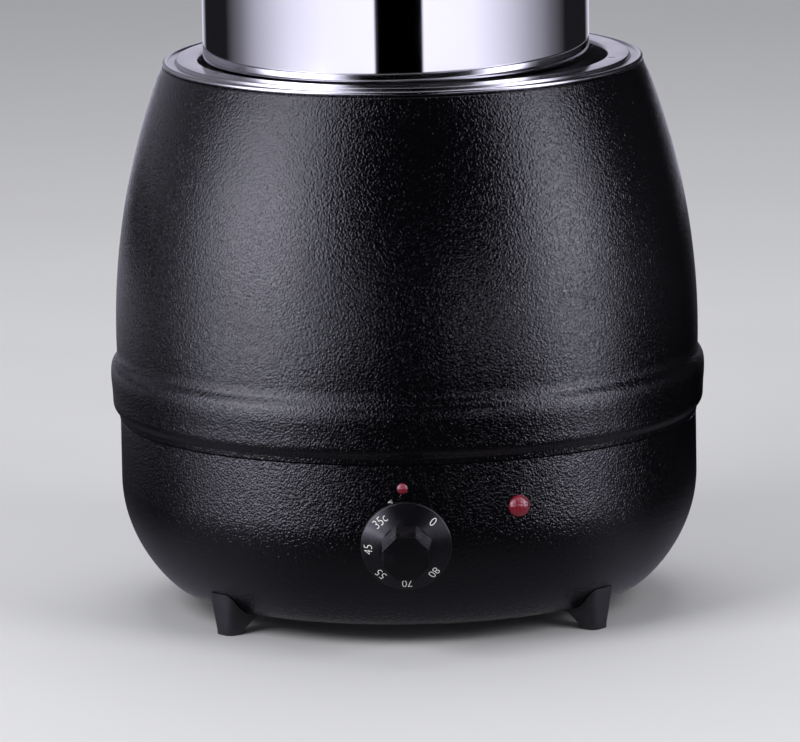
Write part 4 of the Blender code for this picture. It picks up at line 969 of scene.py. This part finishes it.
class KETTLE_OT_make_dial(Operator):
    """Make the dial with its eight-sided grip, its printed numerals and the index mark above it"""

    bl_idname = "kettle.make_dial"
    bl_label = "Dial"

    # Numeral and its azimuth on the dial, clockwise from the top in the photographed position
    numerals = (("0", 45.5), ("80", 134.5), ("70", 179.6), ("55", 223.0), ("45", 268.0), ("35c", 317.5))
    mark_turn_deg = -19.4

    def execute(self, context):
        kettle = context.scene.soup_kettle
        dial = kettle.dial
        back, edge, crown = 0.0010, 0.0040, 0.0094
        recess_radius, recess_depth = 0.0215, 0.0022
        skirt = turned_form(
            [
                (0, crown),
                (dial.grip_tip, crown),
                (dial.grip_base, crown),
                (dial.skirt_radius, edge, 0.0006),
                (dial.skirt_radius, back, 0.0003),
                (recess_radius, back),
                (recess_radius, back + recess_depth),
                (0, back + recess_depth),
            ],
            128,
        )
        knob = shape("dial_knob", skirt)
        corner_share = 1 / math.cos(math.pi / 8)
        grip = rod_form(
            dial.grip_base * corner_share,
            back + recess_depth + 0.0010,
            crown + dial.grip_length,
            8,
            dial.grip_tip * corner_share,
            math.pi / 8,
        )
        combined(knob, rounded(grip, dial.edge_round, 4), "UNION")
        combined(knob, rod_form(0.0060, back, crown, 32), "UNION")
        combined(knob, rod_form(0.0033, back - 0.0020, back + 0.0160, 24), "DIFFERENCE")
        knob.data.transform(dial_frame())
        dressed(knob, "dial", dial_plastic(kettle.finishes), ["control_knob"], 18)
        refinish(plated_steel(), "thermostat_shaft")

        slope = (crown - edge) / (dial.skirt_radius - dial.grip_base)
        ink = print_ink(kettle.finishes)
        prints = []
        for text, azimuth in self.numerals:
            form = lettering(context, text, dial.numeral_height, dial.print_thickness)
            turn = Matrix.Rotation(-math.radians(azimuth), 4, "Z")
            prints.append(placed(form, turn @ Matrix.Translation((0, dial.numeral_radius, 0))))
        whole = joined_form(prints)
        for vert in whole.verts:
            away = math.hypot(vert.co.x, vert.co.y) - dial.grip_base
            vert.co.z += crown - away * slope + dial.print_thickness / 2
        numerals = shape("dial_numerals", placed(whole, dial_frame()))
        dressed(numerals, "dial", ink)

        mark = bmesh.new()
        reach = dial.mark_size / 2
        bmesh.ops.create_cone(mark, cap_ends=True, segments=3, radius1=reach, radius2=reach, depth=0.0004)
        bmesh.ops.scale(mark, vec=(0.8, 1, 1), verts=mark.verts)
        turn = Matrix.Rotation(-math.radians(self.mark_turn_deg), 4, "Z")
        out = Matrix.Translation((0, dial.skirt_radius + fit_gap, 0))
        placed(mark, dial_frame() @ turn @ out @ Matrix.Rotation(math.pi / 2, 4, "Z"))
        for vert in mark.verts:
            reach = math.hypot(vert.co.x, vert.co.y)
            outward = base_radius + (dial.print_thickness if reach > base_radius else -dial.print_thickness)
            vert.co.x *= outward / reach
            vert.co.y *= outward / reach
        dressed(shape("index_mark", mark), "kettle", ink)
        return {"FINISHED"}


def lettering(context, text, height, thickness):
    """A word as a thin solid of a height, centred on the origin, reading along +X."""
    cap_share = 0.72
    curve = bpy.data.curves.new("print", "FONT")
    curve.body = text
    curve.size = height / cap_share
    curve.offset = -curve.size * 0.018
    curve.extrude = thickness
    curve.align_x = "CENTER"
    curve.align_y = "CENTER"
    obj = bpy.data.objects.new("print", curve)
    context.scene.collection.objects.link(obj)
    context.view_layer.update()
    mesh = bpy.data.meshes.new_from_object(obj.evaluated_get(context.evaluated_depsgraph_get()))
    form = bmesh.new()
    form.from_mesh(mesh)
    bmesh.ops.remove_doubles(form, verts=form.verts, dist=weld_distance)
    bmesh.ops.recalc_face_normals(form, faces=form.faces)
    bmesh.ops.scale(form, vec=(0.9, 1, 1), verts=form.verts)
    bpy.data.meshes.remove(mesh)
    bpy.data.objects.remove(obj)
    bpy.data.curves.remove(curve)
    return form


class KETTLE_OT_make_lamps(Operator):
    """Make the two red pilot lamps in the base"""

    bl_idname = "kettle.make_lamps"
    bl_label = "Pilot lamps"

    def execute(self, context):
        kettle = context.scene.soup_kettle
        # Radius, height of the dome and pitch of the ribs behind it
        sizes = {"power_lamp": (0.0063, 0.0048, 0.00075), "heating_lamp": (0.0031, 0.0020, 0.0006)}
        for name, (radius, dome, rib_pitch) in sizes.items():
            neck, neck_length = radius - 0.0010, 0.0045
            steps = 14
            outline = [(0, dome)]
            for i in range(1, steps + 1):
                turn = math.pi / 2 * i / steps
                outline.append((radius * math.sin(turn), fit_gap + (dome - fit_gap) * math.cos(turn)))
            outline += [(neck, fit_gap), (neck, -neck_length), (0, -neck_length)]
            form = placed(turned_form(outline, 64), lamp_frames[name])
            red = lens_plastic(kettle.finishes, name + "_polycarbonate", rib_pitch)
            dressed(shape(name + "_dome", form), "kettle", red, [name + "_lens"])
        refinish(glazed_ceramic(), "power_lamp_body", "heating_lamp_body")
        refinish(plated_steel(), "power_lamp_clip", "heating_lamp_clip")
        return {"FINISHED"}


class KETTLE_OT_make_feet(Operator):
    """Make the four moulded feet that fit the bowl"""

    bl_idname = "kettle.make_feet"
    bl_label = "Feet"

    def execute(self, context):
        kettle = context.scene.soup_kettle
        plastic = foot_plastic(kettle.finishes)
        model = shape("foot_model", foot_form())
        combined(model, ear_form(), "UNION")
        bowl = [(r + fit_gap, z - fit_gap * (1 - z / rounding_top)) for r, z in bowl_line()]
        seat = [(0, rounding_top), *bowl, (0, floor_height - fit_gap)]
        combined(model, turned_form(seat, kettle.shells.steps), "DIFFERENCE")
        for place, azimuth in foot_corners.items():
            form = bmesh.new()
            form.from_mesh(model.data)
            placed(form, Matrix.Rotation(math.radians(azimuth - 90), 4, "Z"))
            foot = shape("moulded_foot_" + place, form)
            dressed(foot, "kettle", plastic, ["foot_" + place], 35)
        bpy.data.objects.remove(model)
        return {"FINISHED"}


def foot_form():
    """A foot with its toe in +X: a rounded pad that spreads upwards, with a long sloping heel."""
    half, corner, pad_height = 0.0070, 0.0048, 0.0025
    form = bmesh.new()
    bmesh.ops.create_grid(
        form, x_segments=1, y_segments=1, size=half, matrix=Matrix.Translation((foot_circle_radius, 0, 0))
    )
    bmesh.ops.bevel(
        form,
        geom=form.verts[:],
        offset=corner,
        offset_type="OFFSET",
        segments=6,
        profile=0.5,
        affect="VERTICES",
        material=-1,
    )
    rise = form.faces[:]
    # Height above the pad, how far the heel runs back, how far the toe leans out and the sides spread
    for height, heel, toe, spread in (
        (pad_height, 0.0, 0.0, 0.0),
        (0.0040, 0.0045, 0.0004, 0.0006),
        (0.0235, 0.0375, 0.0021, 0.0034),
    ):
        grown = bmesh.ops.extrude_face_region(form, geom=rise)
        rise = [item for item in grown["geom"] if isinstance(item, bmesh.types.BMFace)]
        for vert in {vert for face in rise for vert in face.verts}:
            vert.co.z += height
            vert.co.x += toe if vert.co.x > foot_circle_radius else -heel
            vert.co.y += spread if vert.co.y > 0 else -spread
    bmesh.ops.recalc_face_normals(form, faces=form.faces)
    sole = [e for e in form.edges if all(v.co.z < weld_width for v in e.verts)]
    bmesh.ops.bevel(form, geom=sole, offset=0.0006, segments=3, profile=0.5, affect="EDGES", material=-1)
    return form


def ear_form():
    """The foot's ear under the bowl's flat, with its screw hole."""
    under, top = floor_height - fit_gap - 0.0023, floor_height + 0.0020
    heel = foot_circle_radius - 0.0070
    screw_axis = Matrix.Translation((foot_screw_circle_radius, 0, 0))
    form = placed(rod_form(0.0085, under, top, 48), screw_axis)
    reach = heel - foot_screw_circle_radius + 0.0040
    web_middle = (foot_screw_circle_radius + reach / 2, 0, (top + under) / 2)
    web = block_form((reach, 0.0160, top - under), web_middle)
    ear = shape("ear", form)
    combined(ear, web, "UNION")
    combined(ear, placed(rod_form(0.0023, under - 0.002, top + 0.002, 24), screw_axis), "DIFFERENCE")
    made = bmesh.new()
    made.from_mesh(ear.data)
    mesh = ear.data
    bpy.data.objects.remove(ear)
    bpy.data.meshes.remove(mesh)
    return made


class KETTLE_OT_make_gland(Operator):
    """Make the cord gland at the rear, with its ribbed dome nut"""

    bl_idname = "kettle.make_gland"
    bl_label = "Cord gland"

    def execute(self, context):
        kettle = context.scene.soup_kettle
        nylon = gland_nylon(kettle.finishes)
        bore, thread, collet = 0.0042, 0.0077, 0.0062
        inner_end = -0.0110
        hex_top = fit_gap + 0.0050
        collet_top = hex_top + 0.0090
        body = shape(
            "gland_body",
            turned_form(
                [
                    (bore, collet_top, 0.0004),
                    (collet, collet_top, 0.0004),
                    (collet, hex_top - fit_gap),
                    (thread, hex_top - fit_gap),
                    (thread, inner_end),
                    (bore, inner_end),
                ],
                64,
                closed=True,
            ),
        )
        collar = shape("gland_collar", rounded(rod_form(0.0118, fit_gap, hex_top, 6), 0.0005))
        combined(collar, rod_form(collet - fit_gap, -0.002, hex_top + 0.002, 48), "DIFFERENCE")
        ring = bmesh.new()
        ring.from_mesh(collar.data)
        bpy.data.objects.remove(collar)
        combined(body, ring, "UNION")
        body.data.transform(gland_frame)
        dressed(body, "kettle", nylon, ["cord_gland_body"], 30)

        low = hex_top + fit_gap
        top = low + 0.0165
        grip_radius, grip_height = 0.0105, 0.0080
        dome = turned_form(
            [
                (bore, top, 0.0006),
                (0.0078, top, 0.0020),
                (grip_radius, low + grip_height, 0.0020),
                (grip_radius, low, 0.0004),
                (collet + fit_gap, low),
                (collet + fit_gap, collet_top + fit_gap),
                (bore, collet_top + fit_gap),
            ],
            120,
            closed=True,
        )
        ribs, rib_depth = 20, 0.0006
        for vert in dome.verts:
            reach = math.hypot(vert.co.x, vert.co.y)
            turn = math.atan2(vert.co.y, vert.co.x)
            if reach > 0.0095 and math.cos(turn * ribs) < -0.1:
                vert.co.x *= 1 - rib_depth / reach
                vert.co.y *= 1 - rib_depth / reach
        nut = shape("gland_dome_nut", placed(dome, gland_frame))
        dressed(nut, "kettle", nylon, ["cord_gland_dome_nut"], 30)
        refinish(nylon, "cord_gland_lock_nut")
        return {"FINISHED"}


class KETTLE_OT_make_screws(Operator):
    """Make the screws under the base, and finish the nuts and tie rods"""

    bl_idname = "kettle.make_screws"
    bl_label = "Screws and nuts"

    def execute(self, context):
        zinc = plated_steel()
        # Radius of the thread, radius of the head and height of the head
        kinds = {
            "foot_screw": (foot_corners, 0.0020, 0.0038, 0.0018),
            "bottom_cover_screw": (("1", "2", "3"), 0.0018, 0.0034, 0.0016),
        }
        for kind, (keys, radius, head_radius, head_height) in kinds.items():
            for key in keys:
                node = f"{kind}_{key}"
                low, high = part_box(node)
                middle = (low + high) / 2
                form = screw_form(radius, head_radius, head_height, low.z + head_height, high.z)
                screw = shape("cross_" + node, form)
                cross_recessed(screw, radius, low.z, head_height * 0.65)
                screw.data.transform(Matrix.Translation((middle.x, middle.y, 0)))
                dressed(screw, "kettle", zinc, [node])
        refinish(plated_steel(threaded=True), "tie_rod_1", "tie_rod_2", "tie_rod_3", "element_clamp_stud")
        nuts = ["tie_rod_nut_1", "tie_rod_nut_2", "tie_rod_nut_3", "element_clamp_nut"]
        nuts += ["foot_nut_" + corner for corner in foot_corners]
        refinish(zinc, *nuts)
        return {"FINISHED"}


class KETTLE_OT_finish_inside(Operator):
    """Finish the heating element, the thermostat, the cut-out and the wiring inside the base"""

    bl_idname = "kettle.finish_inside"
    bl_label = "Inner works"

    def execute(self, context):
        kettle = context.scene.soup_kettle
        zinc = plated_steel()
        refinish(element_sheath(), "heating_element")
        refinish(zinc, "element_clamp_bar", "bulb_clip", "terminal_block_screw")
        refinish(zinc, "thermostat_screw_left", "thermostat_screw_right")
        refinish(gland_nylon(kettle.finishes), "thermostat_body")
        refinish(glazed_ceramic(), "thermal_cutout", "terminal_block")
        refinish(drawn_copper(), "thermostat_bulb")
        brown = wire_sleeve("brown_glass_braid", "#5a3a26")
        refinish(brown, "lead_supply", "lead_switched", "lead_element_live")
        refinish(wire_sleeve("blue_glass_braid", "#2f4f86"), "lead_element_neutral")
        refinish(wire_sleeve("white_glass_braid", "#d8d4c8"), "lead_power_lamp", "lead_heating_lamp")
        return {"FINISHED"}


# Stage


def card_material(strength, pot_strength, radius):
    """White and black studio cards in a ring and on the floor, for what is glossy alone."""
    material = bpy.data.materials.new("studio_cards")
    material.use_nodes = True
    tree = material.node_tree
    tree.nodes.clear()
    # Azimuth from the camera's side, and the brightness there that the coat and the pot mirror
    wide_cards = (
        (-180, 0.13), (-170, 0.13), (-163, 0.05), (-150, 0.05), (-118, 0.05), (-98, 0.04), (-88, 0.12),
        (-74, 0.7), (-58, 1.0), (-46, 0.92), (-36, 0.45), (-26, 0.04), (-20, 0.0), (32, 0.0),
        (42, 0.02), (50, 0.3), (59, 0.88), (68, 0.92), (75, 0.48), (82, 0.08), (90, 0.01),
        (150, 0.0), (163, 0.02), (170, 0.13), (180, 0.13),
    )  # fmt: skip
    pot_cards = (
        (-180, 0.70), (-162, 0.55), (-150, 0.01), (-116, 0.01), (-100, 0.16), (-88, 0.38), (-62, 0.76),
        (-42, 0.95), (-12.4, 1.0), (-11.2, 0.0), (14.2, 0.0), (15.4, 1.0), (44, 0.95), (60, 0.71),
        (82, 0.36), (100, 0.13), (116, 0.01), (150, 0.01), (162, 0.55), (180, 0.70),
    )  # fmt: skip
    # Height in metres, and the wide cards' share of light there
    rise = ((0.0, 0.5), (0.08, 0.95), (0.26, 0.98), (0.42, 0.72), (0.6, 0.58), (0.8, 0.5), (1.0, 0.44))
    # Height in metres, and the share of the wall that the pot's cards have there
    window = ((0.11, 0), (0.12, 1), (0.222, 1), (0.235, 0))
    # Distance from the axis on the floor in shares of the cards' own, and the share of light there
    near = ((0.14, 0.01), (0.3, 0.04), (0.6, 0.2), (0.985, 0.75), (1.0, 1.0))
    # The same distance, and the light of the floor itself
    glow = ((0.14, 0.17), (0.22, 0.12), (0.3, 0.05), (0.42, 0.015), (0.6, 0.0))

    parts = add(tree, "SeparateXYZ", {0: add(tree, "TexCoord").outputs["Object"]})
    east, north, height = parts.outputs
    front = add(tree, "Math", {0: north, 1: -1.0}, operation="MULTIPLY")
    turn = add(tree, "Math", {0: east, 1: front.outputs[0]}, operation="ARCTAN2")
    share = add(tree, "Math", {0: turn.outputs[0], 1: 1 / math.tau, 2: 0.5}, operation="MULTIPLY_ADD")
    flat = add(tree, "CombineXYZ", {0: east, 1: north})
    reach = add(tree, "VectorMath", {0: flat.outputs[0]}, operation="LENGTH")
    away = add(tree, "Math", {0: reach.outputs["Value"], 1: 1 / radius}, operation="MULTIPLY")
    tables = (
        (share.outputs[0], [(0.5 + azimuth / 360, shade) for azimuth, shade in wide_cards]),
        (share.outputs[0], [(0.5 + azimuth / 360, shade) for azimuth, shade in pot_cards]),
        (height, rise),
        (height, window),
        (away.outputs[0], near),
        (away.outputs[0], glow),
    )
    wide, pot, by_height, by_window, by_nearness, floor_light = (
        add(tree, "ValToRGB", {0: value}, stops=stops).outputs[0] for value, stops in tables
    )
    walled = add(tree, "Math", {0: wide, 1: by_height}, operation="MULTIPLY")
    soft = add(tree, "Math", {0: walled.outputs[0], 1: by_nearness}, operation="MULTIPLY")
    wide_light = {0: soft.outputs[0], 1: strength, 2: floor_light}
    coat_light = add(tree, "Math", wide_light, operation="MULTIPLY_ADD")
    pot_light = add(tree, "Math", {0: pot, 1: pot_strength}, operation="MULTIPLY")
    lights = {0: by_window, 2: coat_light.outputs[0], 3: pot_light.outputs[0]}
    power = add(tree, "Mix", lights, data_type="FLOAT")
    # A little blue, as the photograph's highlights are
    lit = add(tree, "Emission", {"Color": (0.94, 0.92, 1.12, 1), "Strength": power.outputs[0]})
    add(tree, "OutputMaterial", {"Surface": lit.outputs[0]})
    material.cycles.emission_sampling = "NONE"
    return material


def floor_material(studio):
    """Matt seamless paper: a pale, even floor with the faintest mottle."""
    tint = tuple(studio.floor_colour)
    material, tree, shader, place = finish("seamless_paper", tint, 0.85)
    mottle = add(tree, "TexNoise", {"Vector": place, "Scale": 1 / 0.3, "Detail": 3})
    dark, light = shades(tint, 0.97, 1.03)
    body = add(tree, "Mix", {0: mottle.outputs[0], 6: dark, 7: light}, data_type="RGBA")
    feed(tree, shader, Base_Color=body.outputs[2])
    return material


def soft_lamp(context, name, power, width, height, azimuth_deg, elevation_deg, distance):
    """A large soft lamp aimed at the kettle's middle."""
    lamp = bpy.data.lights.new(name, "AREA")
    lamp.shape = "RECTANGLE"
    lamp.size = width
    lamp.size_y = height
    lamp.energy = power
    obj = bpy.data.objects.new(name, lamp)
    rise = math.radians(elevation_deg)
    middle = Vector((0, 0, 0.25))
    place = middle + around(distance * math.cos(rise), azimuth_deg, distance * math.sin(rise))
    aim = (place - middle).to_track_quat("Z", "Y").to_matrix().to_4x4()
    obj.matrix_world = Matrix.Translation(place) @ aim
    obj.visible_glossy = False
    context.scene.collection.objects.link(obj)
    return obj


class KETTLE_OT_make_stage(Operator):
    """Make the floor, the cards that the coat and the steel mirror, the lamps and the camera"""

    bl_idname = "kettle.make_stage"
    bl_label = "Stage"

    def execute(self, context):
        studio = context.scene.soup_kettle.studio
        floor_radius, floor_depth = 16.0, 0.02
        floor = shape("studio_floor", rod_form(floor_radius, -floor_depth, 0.0, 96))
        floor.data.materials.append(floor_material(studio))

        radius = studio.card_radius
        card_top, card_foot, card_inner_radius = 2.4, 0.003, 0.13
        outline = [(radius, card_top), (radius, card_foot), (card_inner_radius, card_foot)]
        cards = shape("studio_card_ring", turned_form(outline, 180))
        cards.data.materials.append(card_material(studio.card_strength, studio.pot_card_strength, radius))
        cards.data.shade_smooth()
        cards.visible_camera = False
        cards.visible_diffuse = False
        cards.visible_shadow = False

        world = bpy.data.worlds.new("studio_surround")
        world.use_nodes = True
        shade = world.node_tree.nodes["Background"]
        shade.inputs["Color"].default_value = (*studio.world_colour, 1)
        shade.inputs["Strength"].default_value = studio.world_strength
        context.scene.world = world
        world.cycles.sampling_method = "NONE"

        # Power, width, height, azimuth, elevation and distance
        soft_lamp(context, "key_lamp", studio.key_power, 1.3, 1.5, -48, 34, 2.4)
        soft_lamp(context, "fill_lamp", studio.fill_power, 1.1, 1.4, 52, 28, 2.4)
        soft_lamp(context, "top_lamp", studio.top_power, 1.6, 1.6, 180, 72, 2.2)
        self.make_camera(context, studio)
        context.scene.view_settings.view_transform = "Standard"
        return {"FINISHED"}

    def make_camera(self, context, studio):
        """The camera at the photograph's place, whose level leans by the photograph's degree."""
        elevation = math.radians(10.04)
        lean = math.radians(0.957)
        # A point on the axis, and its place from the picture's middle in shares of the picture's width
        pivot = Vector((0, 0, 0.160))
        right_share, up_share = 6.9 / 800, 47.7 / 800
        camera = bpy.data.cameras.new("photo_camera")
        camera.lens = studio.camera_lens
        camera.sensor_width = 36
        camera.sensor_fit = "HORIZONTAL"
        camera.clip_start = 0.1
        camera.clip_end = 60
        obj = bpy.data.objects.new("photo_camera", camera)
        back = Vector((0, -math.cos(elevation), math.sin(elevation)))
        place = pivot + back * studio.camera_distance
        right = Vector((1, 0, 0))
        up = back.cross(right)
        step = studio.camera_distance * camera.sensor_width / camera.lens
        across = right_share * math.cos(lean) + up_share * math.sin(lean)
        along = up_share * math.cos(lean) - right_share * math.sin(lean)
        aim = pivot - right * across * step - up * along * step
        look = frame_at(place, place - aim)
        obj.matrix_world = look @ Matrix.Rotation(-lean, 4, "Z")
        context.scene.collection.objects.link(obj)
        context.scene.camera = obj


class KETTLE_PT_panel(Panel):
    """The kettle's sizes, finishes and pieces"""

    bl_idname = "KETTLE_PT_panel"
    bl_label = "Soup kettle warmer"
    bl_space_type = "VIEW_3D"
    bl_region_type = "UI"
    bl_category = "Kettle"

    def draw(self, context):
        kettle = context.scene.soup_kettle
        for group in (kettle.shells, kettle.dial, kettle.finishes, kettle.studio):
            box = self.layout.box()
            box.label(text=type(group).__doc__)
            for name in type(group).__annotations__:
                box.prop(group, name)
        column = self.layout.column(align=True)
        for operator in operators:
            column.operator(operator.bl_idname)


operators = (
    KETTLE_OT_make_stage,
    KETTLE_OT_make_casing,
    KETTLE_OT_make_base,
    KETTLE_OT_make_well,
    KETTLE_OT_make_pot,
    KETTLE_OT_make_lid,
    KETTLE_OT_make_dial,
    KETTLE_OT_make_lamps,
    KETTLE_OT_make_feet,
    KETTLE_OT_make_gland,
    KETTLE_OT_make_screws,
    KETTLE_OT_finish_inside,
)
groups = (KettleShellSizes, KettleDialSizes, KettleFinishes, KettleStudio, KettleSettings)


def register():
    for item in groups + operators + (KETTLE_PT_panel,):
        bpy.utils.register_class(item)
    bpy.types.Scene.soup_kettle = PointerProperty(
        name="Soup kettle", description="Settings of the soup kettle", type=KettleSettings
    )


def unregister():
    del bpy.types.Scene.soup_kettle
    for item in reversed(groups + operators + (KETTLE_PT_panel,)):
        bpy.utils.unregister_class(item)


def main():
    register()
    for operator in operators:
        group, name = operator.bl_idname.split(".")
        getattr(getattr(bpy.ops, group), name)()


if __name__ == "__main__":
    main()
